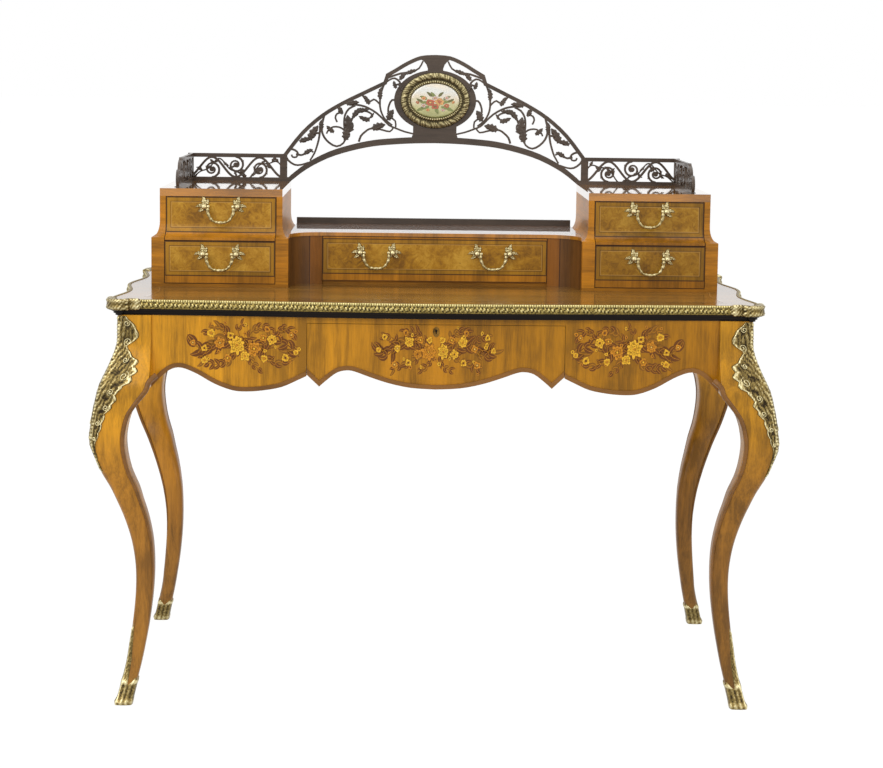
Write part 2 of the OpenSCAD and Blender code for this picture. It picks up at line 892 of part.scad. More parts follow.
module post(x, y, z) {
    translate([x, y - glue, z]) rotate([90, 0, 0]) difference() {
        union() {
            linear_extrude(2.2) polygon([for (i = [0:47])
                let (r = 11 + 1.8 * cos(i * 45)) [r * cos(i * 7.5), r * sin(i * 7.5)]]);
            cylinder(r = 7, h = 5);
            translate([-post_w / 2, -5, 0]) cube([post_w, 10, post_out]);
            translate([-post_w / 2, 0, post_out]) rotate([0, 90, 0]) cylinder(r = 5, h = post_w);
            translate([0, 0, glue - shank_in]) cylinder(d = shank_d, h = shank_in + 1, $fn = 24);
        }
        translate([-post_w, 0, post_out - glue]) rotate([0, 90, 0])
            cylinder(d = pin_d + 2 * pin_gap, h = 2 * post_w, $fn = 32);
    }
}

module posts(x, y, z) {
    color(brass) for (s = [-1, 1]) post(x + s * post_half, y, z);
}

knuckle_r = 3.2;
knuckle_w = 6;

bail_path = smooth([[bail_half, -0.6], [bail_half + 0.8, -5], [bail_half + 0.6, -12],
    [bail_half - 4, -0.62 * bail_drop], [bail_half - 11, -0.86 * bail_drop], [6, -0.95 * bail_drop],
    [0, -bail_drop]], 2);

function tube(path, r) = [for (i = [0:len(path) - 1])
    let (a = path[max(0, i - 1)], b = path[min(len(path) - 1, i + 1)])
    let (d = (b - a) / norm(b - a), s = i == 0 ? [0, -1] : d)
    [for (k = [0:9]) let (u = r * cos(k * 36), v = r * sin(k * 36))
        [path[i][0] + u * s[1], v, path[i][1] - u * s[0]]]];

// The bail hangs from two knuckles, each with a pin that turns in its post
module bail(x, y, z) {
    whole_path = concat([for (p = bail_path) [-p[0], p[1]]], back([for (p = bail_path)
        if (p[0] > 0) p]));
    pin_end = post_half + post_w / 2 + 3;
    color(brass) translate([x, y - post_out, z]) {
        skin(tube(whole_path, pin_d / 2));
        for (s = [-1, 1]) {
            translate([s * bail_half, 0, 0]) rotate([0, 90, 0])
                cylinder(r = knuckle_r, h = knuckle_w, center = true, $fn = 32);
            translate([s * (bail_half + pin_end) / 2, 0, 0]) rotate([0, 90, 0])
                cylinder(d = pin_d, h = pin_end - bail_half, center = true, $fn = 32);
        }
        translate([0, 0, -bail_drop]) rotate([0, 90, 0])
            cylinder(r = 3.4, h = 5, center = true, $fn = 32);
    }
}

module right_upper_posts() posts(cab_cx, -cab_front_up, upper_handle_z);
module right_lower_posts() posts(cab_cx, -cab_front_low, lower_handle_z);
module left_upper_posts() posts(-cab_cx, -cab_front_up, upper_handle_z);
module left_lower_posts() posts(-cab_cx, -cab_front_low, lower_handle_z);
module right_upper_bail() bail(cab_cx, -cab_front_up, upper_handle_z);
module right_lower_bail() bail(cab_cx, -cab_front_low, lower_handle_z);
module left_upper_bail() bail(-cab_cx, -cab_front_up, upper_handle_z);
module left_lower_bail() bail(-cab_cx, -cab_front_low, lower_handle_z);
module centre_left_bail() bail(-centre_handle_x, centre_y, centre_handle_z);
module centre_right_bail() bail(centre_handle_x, centre_y, centre_handle_z);

module centre_posts() {
    posts(-centre_handle_x, centre_y, centre_handle_z);
    posts(centre_handle_x, centre_y, centre_handle_z);
}

// Pierced gallery: strokes of even width along curves, with round buds

function normal(p, i) =
    let (a = p[max(0, i - 1)], b = p[min(len(p) - 1, i + 1)], d = (b - a) / norm(b - a))
    [-d[1], d[0]];

module stroke(p, w0, w1) {
    n = len(p) - 1;
    left = [for (i = [0:n]) p[i] + normal(p, i) * (w0 + (w1 - w0) * i / n) / 2];
    right = [for (i = [n:-1:0]) p[i] - normal(p, i) * (w0 + (w1 - w0) * i / n) / 2];
    polygon(concat(left, right));
}

module scroll(x, z, r, a, dir) {
    n = r > 16 ? 22 : 14;
    path = [for (i = [0:n]) let (t = i / n, q = r * (1 - 0.74 * t))
        [x + q * cos(a + dir * 520 * t), z + q * sin(a + dir * 520 * t)]];
    stroke(path, stroke_w, stroke_w * 0.7);
    translate([x, z]) circle(r = r * 0.30, $fn = 16);
    for (k = [0:2]) let (turn = 70 + 95 * k, b = a + dir * turn, q = r * (1 - 0.74 * turn / 520))
        translate([x + q * cos(b), z + q * sin(b)]) rotate(b - 50 * dir)
            polygon([[-r * 0.32, 0], [0, r * 0.10], [r * 0.36, 0], [0, -r * 0.10]]);
}

rail_w = 8;
foot_w = 7;
tenon_h = 8;

module running_frets(length, h) {
    n = 2 * round(length / 96);
    pitch = length / n;
    mid = (foot_w + h - rail_w) / 2;
    amp = (h - rail_w - foot_w) / 2;
    wave = [for (i = [0:n * 12]) [i * pitch / 12, mid - amp * cos(i * 180 / 12)]];
    stroke(wave, stroke_w, stroke_w);
    for (i = [1:n - 1])
        let (up = i % 2 == 0 ? 1 : -1)
            scroll(i * pitch, mid + up * amp * 0.22, amp * 0.84, 90 * up, up);
}

module straight_shape() {
    length = fret_x - arch_x;
    square([length, foot_w]);
    translate([0, gallery_h - rail_w]) square([length, rail_w]);
    square([foot_w, gallery_h]);
    translate([length - foot_w, 0]) square([foot_w, gallery_h]);
    intersection() {
        running_frets(length, gallery_h);
        square([length, gallery_h]);
    }
}

module rear_tenons(g) {
    for (x = [arch_x + 40, fret_x - 46])
        block(x - g, x + 12 + g, fret_y - g, fret_y + fret_t + g, cab_z - tenon_h - g, cab_z + 2);
}

module rear_fret() {
    translate([arch_x + glue, fret_y + fret_t, cab_z + glue]) rotate([90, 0, 0])
        linear_extrude(fret_t) offset(delta = -0.1) offset(delta = 0.1) straight_shape();
    difference() {
        rear_tenons(0);
        block(0, 700, 0, 400, cab_z + 1, cab_z + 9);
    }
}

module rear_frets() {
    color(dark_walnut) {
        rear_fret();
        mirror([1, 0, 0]) rear_fret();
    }
}

side_len = fret_y + 12;

module curl(x, z, r, dir) {
    difference() {
        translate([x, z]) circle(r = r);
        translate([x, z]) circle(r = r - 5);
    }
    scroll(x, z, r * 0.68, 270, dir);
}

module side_shape() {
    high = side_len - 72;
    translate([0, gallery_h - rail_w]) square([high + 3, rail_w]);
    square([side_len - 6, foot_w]);
    square([foot_w, gallery_h]);
    intersection() {
        union() {
            running_frets(high, gallery_h);
            curl(high + 18, 26, 26, 1);
            curl(high + 54, 17, 18, -1);
            translate([high + 10, gallery_h - 8]) circle(r = 9);
        }
        square([side_len, gallery_h + 4]);
    }
}

module side_tenons(g) {
    for (y = [20, 190])
        block(fret_x - fret_t - g, fret_x + g, y - g, y + 12 + g, cab_z - tenon_h - g, cab_z + 2);
}

module side_fret() {
    translate([fret_x - fret_t, fret_y - glue, cab_z + glue]) rotate([0, 0, -90]) rotate([90, 0, 0])
        linear_extrude(fret_t) offset(delta = -0.1) offset(delta = 0.1) side_shape();
    difference() {
        side_tenons(0);
        block(0, 700, 0, 400, cab_z + 1, cab_z + 9);
    }
}

module side_frets() {
    color(dark_walnut) {
        side_fret();
        mirror([1, 0, 0]) side_fret();
    }
}

// The arch, drawn from the middle outwards for cabinet tops 594 apart and 188 high, with
// heights above the writing surface, and stretched to the cabinets that carry it

arch_out = concat(
    smooth([[0, 452], [31, 449.5], [60, 437], [83, 423], [102, 412]], 3),
    smooth([[107, 396], [150, 375], [193, 353.5], [235, 327.5], [276, 291], [313, 244]], 3));
arch_in = smooth([[0, 270], [42, 269], [83, 266.5], [127, 262], [173, 252], [219, 237],
    [264, 213.5], [297, 188.1]], 3);
arch_rail = 13;
boss_a = 85;
boss_b = 63;
boss_foot = [[45, 320], [45, 290], [52, 268]];
boss_neck = [[16, 405], [16, 424], [19, 432], [24, 438], [31, 443], [31, 450]];

arch_wide = arch_x / 313;
foot_wide = arch_foot / 297;
arch_zero = cab_z - 188;

function raised(p, wide) = [for (q = p) [q[0] * wide, q[1] + arch_zero]];

module arch_outline() {
    polygon(concat(
        raised(arch_out, arch_wide),
        [[arch_x, cab_z + glue], [arch_foot, cab_z + glue]],
        raised(back(arch_in), foot_wide),
        raised(flip(back(arch_in)), foot_wide),
        [[-arch_foot, cab_z + glue], [-arch_x, cab_z + glue]],
        raised(flip(arch_out), arch_wide)));
}

module arch_window() {
    difference() {
        offset(delta = -rail_w) arch_outline();
        polygon(concat(
            [[-arch_foot, cab_z - 40], [arch_foot, cab_z - 40], [arch_foot + arch_rail, cab_z]],
            raised(back([for (q = arch_in) [q[0], q[1] + arch_rail]]), foot_wide),
            raised(flip(back([for (q = arch_in) [q[0], q[1] + arch_rail]])), foot_wide),
            [[-arch_foot - arch_rail, cab_z]]));
    }
}

// Vines and leaves of one half of the arch, drawn as the arch is

arch_vines = [
    [[196, 352], [174, 349], [153, 346], [138, 341], [121, 331], [108, 319], [95, 306], [81, 300],
        [62, 293], [40, 288]],
    [[100, 404], [108, 385], [113, 367], [114, 346], [110, 330], [102, 317], [88, 306]],
    [[70, 385], [74, 396], [84, 403], [94, 400], [102, 394]],
    [[79, 358], [89, 358], [95, 348], [97, 335], [92, 323], [82, 315], [81, 302]],
    [[227, 331], [233, 309], [234, 294], [229, 280], [218, 268], [203, 261], [189, 268], [183,
        284], [189, 296], [199, 301], [211, 301], [220, 295], [224, 287]],
    [[165, 346], [178, 339], [186, 326], [188, 311], [187, 297], [183, 282]],
    [[157, 271], [153, 283], [144, 292], [135, 298], [122, 299], [108, 296], [93, 293], [86, 301]],
    [[237, 311], [238, 290], [240, 275], [244, 260], [249, 246], [258, 231]],
    [[314, 260], [309, 243], [303, 231], [290, 222], [276, 222], [261, 227]],
    [[305, 248], [298, 254], [289, 252], [283, 246], [286, 238], [294, 238], [296, 243]],
    [[287, 244], [276, 242], [267, 246], [258, 252], [251, 248]],
    [[153, 371], [147, 363], [138, 353], [127, 359], [119, 354], [113, 347]],
    [[203, 342], [194, 339], [195, 332], [203, 328], [206, 320], [202, 311]],
    [[98, 404], [72, 413], [51, 416], [34, 424], [26, 439]],
    [[176, 305], [171, 319], [161, 330], [148, 335], [136, 332], [130, 326], [136, 320], [147,
        320]],
    [[239, 288], [248, 287], [258, 280], [270, 270]],
    [[72, 391], [79, 390], [85, 385]]
];

// Each leaf: its place, length, width and lean

arch_leaves = [
    [176, 309, 34, 15, 75], [181, 288, 28, 14, 100], [161, 331, 26, 9, 130], [149, 335, 24, 8,
    170], [146, 320, 24, 8, 20], [116, 302, 28, 13, 160], [250, 288, 34, 13, 120], [267, 273, 26,
    9, 165], [91, 327, 24, 12, 115], [66, 408, 22, 8, 130], [49, 416, 24, 7, 160], [130, 326, 16,
    7, 120], [140, 358, 20, 8, 60], [195, 336, 18, 8, 60], [184, 296, 24, 11, 80], [309, 220, 18,
    7, 70], [261, 249, 20, 8, 150], [216, 297, 20, 8, 40], [83, 390, 16, 7, 70], [170, 350, 26, 9,
    170]
];

module leaf(x, z, length, width, lean) {
    translate([x, z]) rotate(lean) polygon([
        [-0.5 * length, -0.1 * width], [-0.32 * length, 0.34 * width], [-0.08 * length, 0.5 * width],
        [0.1 * length, 0.3 * width], [0.24 * length, 0.36 * width], [0.5 * length, 0.05 * width],
        [0.26 * length, -0.16 * width], [0.08 * length, -0.5 * width],
        [-0.12 * length, -0.34 * width], [-0.3 * length, -0.4 * width]]);
}

module arch_half() {
    for (v = arch_vines) stroke(raised(smooth(v, 2), arch_wide), stroke_w, stroke_w * 0.75);
    for (q = arch_leaves) leaf(q[0] * arch_wide, q[1] + arch_zero, q[2], q[3], q[4]);
}

module arch_fill() {
    arch_half();
    mirror([1, 0, 0]) arch_half();
    polygon(oval(0, boss_z, boss_a, boss_b, 64));
    translate([0, arch_zero]) polygon(concat(boss_foot, flip(boss_foot)));
    translate([0, arch_zero]) polygon(concat(boss_neck, flip(boss_neck)));
}

module arch_tenon(g) {
    block(arch_x - 15 - g, arch_x - 3 + g, fret_y - g, fret_y + fret_t + g, cab_z - tenon_h - g,
        cab_z + 2);
}

module gallery_arch() {
    color(dark_walnut) {
        translate([0, fret_y + fret_t, 0]) rotate([90, 0, 0]) linear_extrude(fret_t)
            offset(delta = -0.1) offset(delta = 0.1) union() {
                difference() {
                    arch_outline();
                    arch_window();
                }
                intersection() {
                    arch_outline();
                    arch_fill();
                }
            }
        arch_tenon(0);
        mirror([1, 0, 0]) arch_tenon(0);
    }
}

frame_a = 72;
frame_b = 58;
plaque_a = 49.5;
plaque_b = 34;

module oval_ring(y0, y1, a0, b0, a1, b1) {
    translate([0, y1, 0]) rotate([90, 0, 0]) linear_extrude(y1 - y0) difference() {
        polygon(oval(0, boss_z, a0, b0, 60));
        polygon(oval(0, boss_z, a1, b1, 60));
    }
}

module plaque_frame() {
    y = fret_y - glue;
    color(brass) {
        oval_ring(y - 4, y, frame_a, frame_b, plaque_a + 2.1, plaque_b + 2.1);
        oval_ring(y - 7, y - 3.9, frame_a - 4, frame_b - 4, plaque_a + 2.1, plaque_b + 2.1);
        oval_ring(y - 9, y - 6.9, frame_a - 14, frame_b - 14, plaque_a, plaque_b);
    }
}

module plaque() {
    y = fret_y - glue;
    color(enamel) translate([0, y, 0]) rotate([90, 0, 0]) linear_extrude(6)
        polygon(oval(0, boss_z, plaque_a + 2, plaque_b + 2, 60));
}

leg_front_left();
leg_front_right();
leg_rear_left();
leg_rear_right();
knee_mounts();
sabots();
front_aprons();
side_aprons();
rear_apron();
apron_beads();
frieze_partitions();
front_top_rail();
frieze_drawer_front();
frieze_drawer_bead();
frieze_drawer_box();
lock_case();
lock_bolt();
escutcheon();
table_top();
top_field();
brass_edge();
under_moulding();
corner_clasps();
cabinet_left_sides();
cabinet_left_top();
cabinet_left_boards();
cabinet_right_sides();
cabinet_right_top();
cabinet_right_boards();
centre_shelf();
centre_quadrants();
centre_boards();
shelf_upstand();
left_upper_front();
left_upper_box();
left_upper_posts();
left_upper_bail();
left_lower_front();
left_lower_box();
left_lower_posts();
left_lower_bail();
right_upper_front();
right_upper_box();
right_upper_posts();
right_upper_bail();
right_lower_front();
right_lower_box();
right_lower_posts();
right_lower_bail();
centre_front();
centre_box();
centre_posts();
centre_left_bail();
centre_right_bail();
rear_frets();
side_frets();
gallery_arch();
plaque_frame();
plaque();
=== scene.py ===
import json
import random
from math import atan2, cos, degrees, pi, radians, sin

import bpy
import numpy as np
from mathutils import Matrix, Vector

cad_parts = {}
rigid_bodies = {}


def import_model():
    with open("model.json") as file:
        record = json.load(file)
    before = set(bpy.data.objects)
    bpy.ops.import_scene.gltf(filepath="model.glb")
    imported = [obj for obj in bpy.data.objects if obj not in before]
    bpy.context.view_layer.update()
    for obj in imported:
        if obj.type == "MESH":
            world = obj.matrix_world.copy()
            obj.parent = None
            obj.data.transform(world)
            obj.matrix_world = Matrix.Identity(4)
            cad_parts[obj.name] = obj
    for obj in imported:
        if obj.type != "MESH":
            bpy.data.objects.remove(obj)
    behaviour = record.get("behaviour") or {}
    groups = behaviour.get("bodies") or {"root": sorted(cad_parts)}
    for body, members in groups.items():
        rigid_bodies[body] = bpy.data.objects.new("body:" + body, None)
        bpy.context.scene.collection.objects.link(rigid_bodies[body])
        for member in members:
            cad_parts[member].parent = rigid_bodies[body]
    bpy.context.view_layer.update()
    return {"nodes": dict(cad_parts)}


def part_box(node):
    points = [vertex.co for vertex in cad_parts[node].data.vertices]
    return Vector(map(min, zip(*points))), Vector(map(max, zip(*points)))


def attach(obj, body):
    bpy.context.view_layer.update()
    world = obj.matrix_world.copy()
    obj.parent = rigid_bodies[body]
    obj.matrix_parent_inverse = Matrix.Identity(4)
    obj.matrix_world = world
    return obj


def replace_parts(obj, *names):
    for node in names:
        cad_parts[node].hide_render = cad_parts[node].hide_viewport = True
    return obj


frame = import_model()
nodes = frame["nodes"]

MM = 0.001
TURN = 2 * pi
CORNERS = [(-1, -1), (1, -1), (-1, 1), (1, 1)]
TOP_Z = 749  # height of the writing surface, in mm


def box_mm(name):
    """Lower and upper corner of a CAD node, in mm."""
    return [np.array(corner) * 1000 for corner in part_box(name)]


def new_object(name, data):
    made = bpy.data.objects.new(name, data)
    bpy.context.scene.collection.objects.link(made)
    return made


def srgb(r, g, b):
    """A colour written as 0 to 255 screen values, as the linear value that shaders take."""
    return [((c / 255 + 0.055) / 1.055) ** 2.4 if c > 10 else c / 255 / 12.92 for c in (r, g, b)] + [1.0]


# Shader graphs


class Graph:
    """A node tree with short names for the nodes that are used."""

    def __init__(self, tree):
        self.tree = tree

    def put(self, socket, value):
        if isinstance(value, bpy.types.NodeSocket):
            self.tree.links.new(value, socket)
        else:
            socket.default_value = value

    def node(self, kind, inputs, **settings):
        """A new node. inputs holds values or links for its sockets, by name or number."""
        made = self.tree.nodes.new("ShaderNode" + kind)
        for key, value in settings.items():
            setattr(made, key, value)
        for key, value in inputs.items():
            self.put(made.inputs[key], value)
        return made

    def math(self, operation, *values):
        return self.node("Math", dict(enumerate(values)), operation=operation).outputs[0]

    def mixed(self, share, a, b):
        return self.node("MixShader", {0: share, 1: a, 2: b}).outputs[0]

    def seen(self):
        """1 for rays from the lens and from polished surfaces, 0 for light."""
        rays = self.node("LightPath", {}).outputs
        return self.math("MAXIMUM", rays["Is Camera Ray"], rays["Is Glossy Ray"])


class Shader(Graph):
    """One material. Its place is a point of the object at rest, in metres."""

    def __init__(self, name):
        self.material = bpy.data.materials.new(name)
        self.material.use_nodes = True
        super().__init__(self.material.node_tree)
        self.surface = self.tree.nodes["Principled BSDF"]
        self.place = self.node("TexCoord", {}).outputs["Object"]

    def along(self, axis):
        return self.node("SeparateXYZ", {0: self.place}).outputs["xyz".index(axis)]

    def stretched(self, scale, turn=(0, 0, 0)):
        turn = [radians(t) for t in turn]
        return self.node("Mapping", {0: self.place, "Scale": scale, "Rotation": turn}).outputs[0]

    def noise(self, scale, detail, rough=0.55, distortion=0.0, place=None):
        values = {"Vector": self.place if place is None else place, "Scale": scale, "Detail": detail,
                  "Roughness": rough, "Distortion": distortion}
        return self.node("TexNoise", values).outputs["Fac"]

    def relief(self):
        return self.node("Attribute", {}, attribute_name="relief").outputs["Fac"]

    def ramp(self, value, stops, steps="LINEAR"):
        made = self.node("ValToRGB", {"Fac": value})
        made.color_ramp.interpolation = steps
        points = made.color_ramp.elements
        while len(points) < len(stops):
            points.new(0.5)
        for point, (at, colour) in zip(points, stops):
            point.position = at
            point.color = colour if hasattr(colour, "__len__") else [colour] * 3 + [1]
        return made.outputs["Color"]

    def mix(self, share, a, b, how="MIX"):
        return self.node("Mix", {0: share, 6: a, 7: b}, data_type="RGBA", blend_type=how).outputs[2]

    def finish(self, colour, rough, metal=0.0, coat=0.0, coat_rough=0.08, height=None, depth=0.2, shine=0.5):
        """Sets the surface. height makes bumps of depth mm."""
        values = {"Base Color": colour, "Roughness": rough, "Metallic": metal, "Specular IOR Level": shine,
                  "Coat Weight": coat, "Coat Roughness": coat_rough}
        if height is not None:
            bump = {"Strength": 0.5, "Distance": depth * MM, "Height": height}
            values["Normal"] = self.node("Bump", bump).outputs[0]
        for key, value in values.items():
            self.put(self.surface.inputs[key], value)
        return self.material


# Woods

GRAIN = {"x": (0.07, 1, 1), "y": (1, 0.07, 1), "z": (1, 1, 0.07), "xy": (0.07, 0.07, 1)}
VENEER = {"coat": 0.08, "coat_rough": 0.1, "shine": 0.22}
POLISH = {"shine": 0.5, "figure": 0.2}


def grain_colour(s, three, grain, figure=0.35):
    """Straight or gently figured wood from its dark, middle and light tone. Returns colour and height."""
    run = s.stretched(GRAIN[grain])
    pores = s.noise(520, 2, 0.6, 0, run)
    tone = s.math("MULTIPLY", s.noise(14, 3, 0.5, 1.4, run), 0.40)
    bands, blotch = s.noise(75, 4, 0.6, 0.6, run), s.noise(7, 3, 0.5, 0.4)
    for part, share in ((bands, 0.42), (blotch, figure), (pores, 0.22)):
        tone = s.math("MULTIPLY_ADD", part, share, tone)
    low = 0.41 + figure / 2
    return s.ramp(tone, list(zip((low, low + 0.13, low + 0.27), three))), pores


def burr_colour(s, three):
    """Burr veneer: swirls, small dark knots and pale islands."""
    swirl = s.noise(64, 8, 0.75, 1.8)
    moved = s.mix(0.06, s.place, s.noise(30, 2), "ADD")
    knots = s.node("TexVoronoi", {"Vector": moved, "Scale": 85}).outputs["Distance"]
    tone = s.math("MULTIPLY_ADD", s.noise(16, 3, 0.5, 1.0), 0.5, s.math("MULTIPLY", swirl, 0.5))
    colour = s.ramp(tone, list(zip((0.38, 0.50, 0.62), three)))
    eyes = s.math("MULTIPLY", s.math("LESS_THAN", knots, 0.16), 0.45)
    return s.mix(eyes, colour, three[0]), swirl


def scaled(colour, k):
    return [c * k for c in colour[:3]] + [1.0]


def tones(colour, spread=0.45):
    """Dark, middle and light tone of a wood around one written colour."""
    return scaled(colour, 1 - spread), colour, scaled(colour, 1 + spread * 0.75)


SIDE_WALNUT = scaled(srgb(186, 126, 24), 0.85)
CROSSBAND = srgb(172, 112, 22)
BURR = (srgb(118, 78, 14), srgb(166, 118, 26), srgb(196, 150, 52))
SHELF_WALNUT = srgb(96, 66, 44)
TOP_WALNUT = srgb(132, 94, 38)
# dark as painted shade in the concave corners beside the middle drawer
QUADRANT_IN_SHADE = srgb(104, 68, 30)
QUADRANT_STRIP = srgb(132, 82, 26)
DARK_WALNUT = srgb(74, 62, 52)
BEAD_WALNUT = srgb(120, 80, 34)
EBONY = srgb(26, 20, 16)
LINE = srgb(58, 32, 12)
STRING = srgb(206, 162, 92)
GILT = srgb(190, 160, 92)
DULL_BRASS = srgb(112, 82, 34)
OAK = srgb(176, 138, 88)


def wood(name, colour, grain="x", rough=0.4, coat=0.08, figure=0.35, spread=0.45, shine=0.22, coat_rough=0.1):
    s = Shader(name)
    shade, height = grain_colour(s, tones(colour, spread), grain, figure)
    return s.finish(shade, rough, coat=coat, coat_rough=coat_rough, height=height, depth=0.12, shine=shine)


def from_rim(s, low, high):
    """Distance inward from the rim of a rectangle in X and Z, in metres."""
    inward = []
    for axis, a, b in zip("xz", low, high):
        off = s.math("ABSOLUTE", s.math("SUBTRACT", s.along(axis), (a + b) / 2))
        inward.append(s.math("SUBTRACT", (b - a) / 2, off))
    return s.math("MINIMUM", *inward)


INSET = 11 * MM  # from the frame's outer edge to the burr


def drawer_face(name, foot, head, painted_shade_by):
    """Burr veneer framed by a dark and a pale line, with crossbanding under and over the frame. Its colours
    are scaled down as painted shade, most on the right-hand drawers, away from the light.
    """
    low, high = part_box(name)
    s = Shader(name + "_face")
    inward = from_rim(s, (low.x, low.z + foot * MM), (high.x, high.z - head * MM))
    burr, swirl = burr_colour(s, [scaled(c, painted_shade_by) for c in BURR])
    border, _ = grain_colour(s, tones(scaled(BURR[1], 0.9 * painted_shade_by), 0.4), "z", 0.3)
    band, _ = grain_colour(s, tones(scaled(CROSSBAND, painted_shade_by), 0.4), "z")
    shade = s.mix(s.math("GREATER_THAN", inward, INSET), border, burr)
    shade = s.mix(s.math("LESS_THAN", inward, 0.2 * MM), shade, band)
    rim = s.math("LESS_THAN", from_rim(s, (low.x, low.z), (high.x, high.z)), 0.9 * MM)
    edge = s.math("MAXIMUM", s.math("COMPARE", inward, 1.0 * MM, 1.1 * MM), rim)
    for line, share, colour in (
        (s.math("COMPARE", inward, INSET - 0.4 * MM, 0.7 * MM), 0.35, STRING),
        (s.math("COMPARE", inward, INSET - 1.9 * MM, 0.6 * MM), 0.75, LINE),
        (edge, 0.9, LINE),
    ):
        shade = s.mix(s.math("MULTIPLY", line, share), shade, colour)
    return s.finish(shade, 0.36, height=swirl, depth=0.1, **VENEER)


def shaded_wood(name, axis, stops, grain, figure, across=()):
    """Wood whose colour changes along one axis. stops holds places in metres and colours; a change along X is
    painted light, lighter on the left where the light falls.

    across holds the same for X, as multipliers: painted light, lighter on the left."""
    s = Shader(name)
    shade, height = grain_colour(s, tones([0.5, 0.5, 0.5, 1]), grain, figure)
    # the change along X is painted light, lighter on the left where the light falls
    for way, points in ((axis, [(x, scaled(c, 2)) for x, c in stops]), ("x", across)):
        if points:
            first, last = points[0][0], points[-1][0]
            share = s.math("DIVIDE", s.math("SUBTRACT", s.along(way), first), last - first)
            tone_and_painted_light = s.ramp(share, [((x - first) / (last - first), c) for x, c in points])
            shade = s.mix(1.0, shade, tone_and_painted_light, "MULTIPLY")
    return s.finish(shade, 0.38, height=height, depth=0.1, **VENEER)


def edged_wood(name, inner, outer, limit, grain="x", coat=0.08, coat_rough=0.08):
    """Plain lining wood whose front edge, in front of limit (metres), is veneered."""
    s = Shader(name)
    back, height = grain_colour(s, tones(inner, 0.25), "y")
    front, _ = grain_colour(s, tones(outer, 0.4), grain)
    shade = s.mix(s.math("LESS_THAN", s.along("y"), limit), back, front)
    return s.finish(shade, 0.4, coat=coat, coat_rough=coat_rough, height=height, depth=0.1, shine=0.22)


STRIP_EDGE = 0.246  # half the distance between the paler strips beside the middle drawer


def quadrant_wood():
    """Concave corners darkened as painted shade, with a paler strip beside the middle drawer."""
    s = Shader("quadrant_walnut")
    dark, height = grain_colour(s, tones(QUADRANT_IN_SHADE, 0.35), "z")
    strip, _ = grain_colour(s, tones(QUADRANT_STRIP, 0.35), "z")
    off = s.math("ABSOLUTE", s.along("x"))
    shade = s.mix(s.math("LESS_THAN", off, STRIP_EDGE), dark, strip)
    shade = s.mix(s.math("COMPARE", off, STRIP_EDGE, 0.9 * MM), shade, LINE)
    return s.finish(shade, 0.4, coat=0.05, height=height, depth=0.1, shine=0.2)


# painted light along the frieze: lighter on the left, where the light falls, and darker to the right
APRON_PAINTED_LIGHT = [(-0.55, srgb(196, 136, 22)), (-0.24, srgb(180, 122, 16)), (0.0, srgb(160, 106, 12)),
               (0.24, srgb(156, 104, 8)), (0.55, srgb(158, 104, 4))]
LEG_DRIFT = [(0.0, srgb(142, 98, 36)), (0.25, srgb(150, 100, 32)), (0.42, srgb(164, 110, 26)),
             (0.55, srgb(190, 132, 24)), (0.72, srgb(192, 134, 22))]
# painted light across the legs: faces towards the left are lighter, faces towards the right darker
LEG_PAINTED_LIGHT = [(-0.6, 1.1), (-0.5, 1.02), (0.0, 0.85), (0.5, 0.84), (0.6, 0.84)]
dark_walnut = wood("dark_walnut", DARK_WALNUT, rough=0.34, coat=0.3, spread=0.35)
bead_walnut = wood("bead_walnut", BEAD_WALNUT, spread=0.3)
leg_walnut = shaded_wood("leg_walnut", "z", LEG_DRIFT, "z", 0.45, LEG_PAINTED_LIGHT)
lining = wood("lining", OAK, "y", rough=0.55, coat=0.0, spread=0.25)

# Metals


def gilt(name, colour):
    """Old fire gilding: bright where it is rubbed, brown in the hollows."""
    s = Shader(name)
    wear = s.noise(130, 4, 0.6)
    shade = s.ramp(wear, [(0.34, scaled(colour, 0.4)), (0.50, colour), (0.68, scaled(colour, 1.5))])
    roughness = s.math("MULTIPLY_ADD", wear, 0.25, 0.22)
    return s.finish(shade, roughness, metal=0.85, height=s.noise(900, 2, 0.6), depth=0.15)


def cast_gilt(name, low, middle, high):
    """Old fire gilding on a casting: brown in the hollows, as patina and painted shade, pale on the rubbed
    ridges, as painted highlight.
    """
    s = Shader(name)
    wear = s.noise(260, 5, 0.7)
    # painted shade in the hollows and painted highlight on the ridges, from the relief, mixed with wear
    tone = s.math("MULTIPLY_ADD", s.math("SUBTRACT", wear, 0.5), 1.3, s.relief())
    shade = s.ramp(tone, [(0.12, srgb(*low)), (0.5, srgb(*middle)), (0.95, srgb(*high))])
    return s.finish(shade, s.math("MULTIPLY_ADD", tone, -0.16, 0.46), metal=0.8, height=wear, depth=0.25)


def steel():
    s = Shader("lock_steel")
    rust = s.noise(260, 4, 0.65)
    shade = s.ramp(rust, [(0.35, srgb(96, 88, 80)), (0.6, srgb(150, 150, 152))])
    return s.finish(shade, s.math("MULTIPLY_ADD", rust, 0.3, 0.25), metal=0.9)


# colours in the hollows as painted shade, in between, and on the ridges as painted highlight
mount_gilt = cast_gilt("mount_gilt", (40, 30, 14), (130, 110, 60), (218, 206, 160))
frame_gilt = cast_gilt("frame_gilt", (58, 50, 30), (136, 124, 86), (204, 194, 152))
band_gilt = cast_gilt("band_gilt", (50, 40, 16), (148, 128, 66), (220, 206, 146))

# Finishes of the CAD nodes. A star stands for any letters.

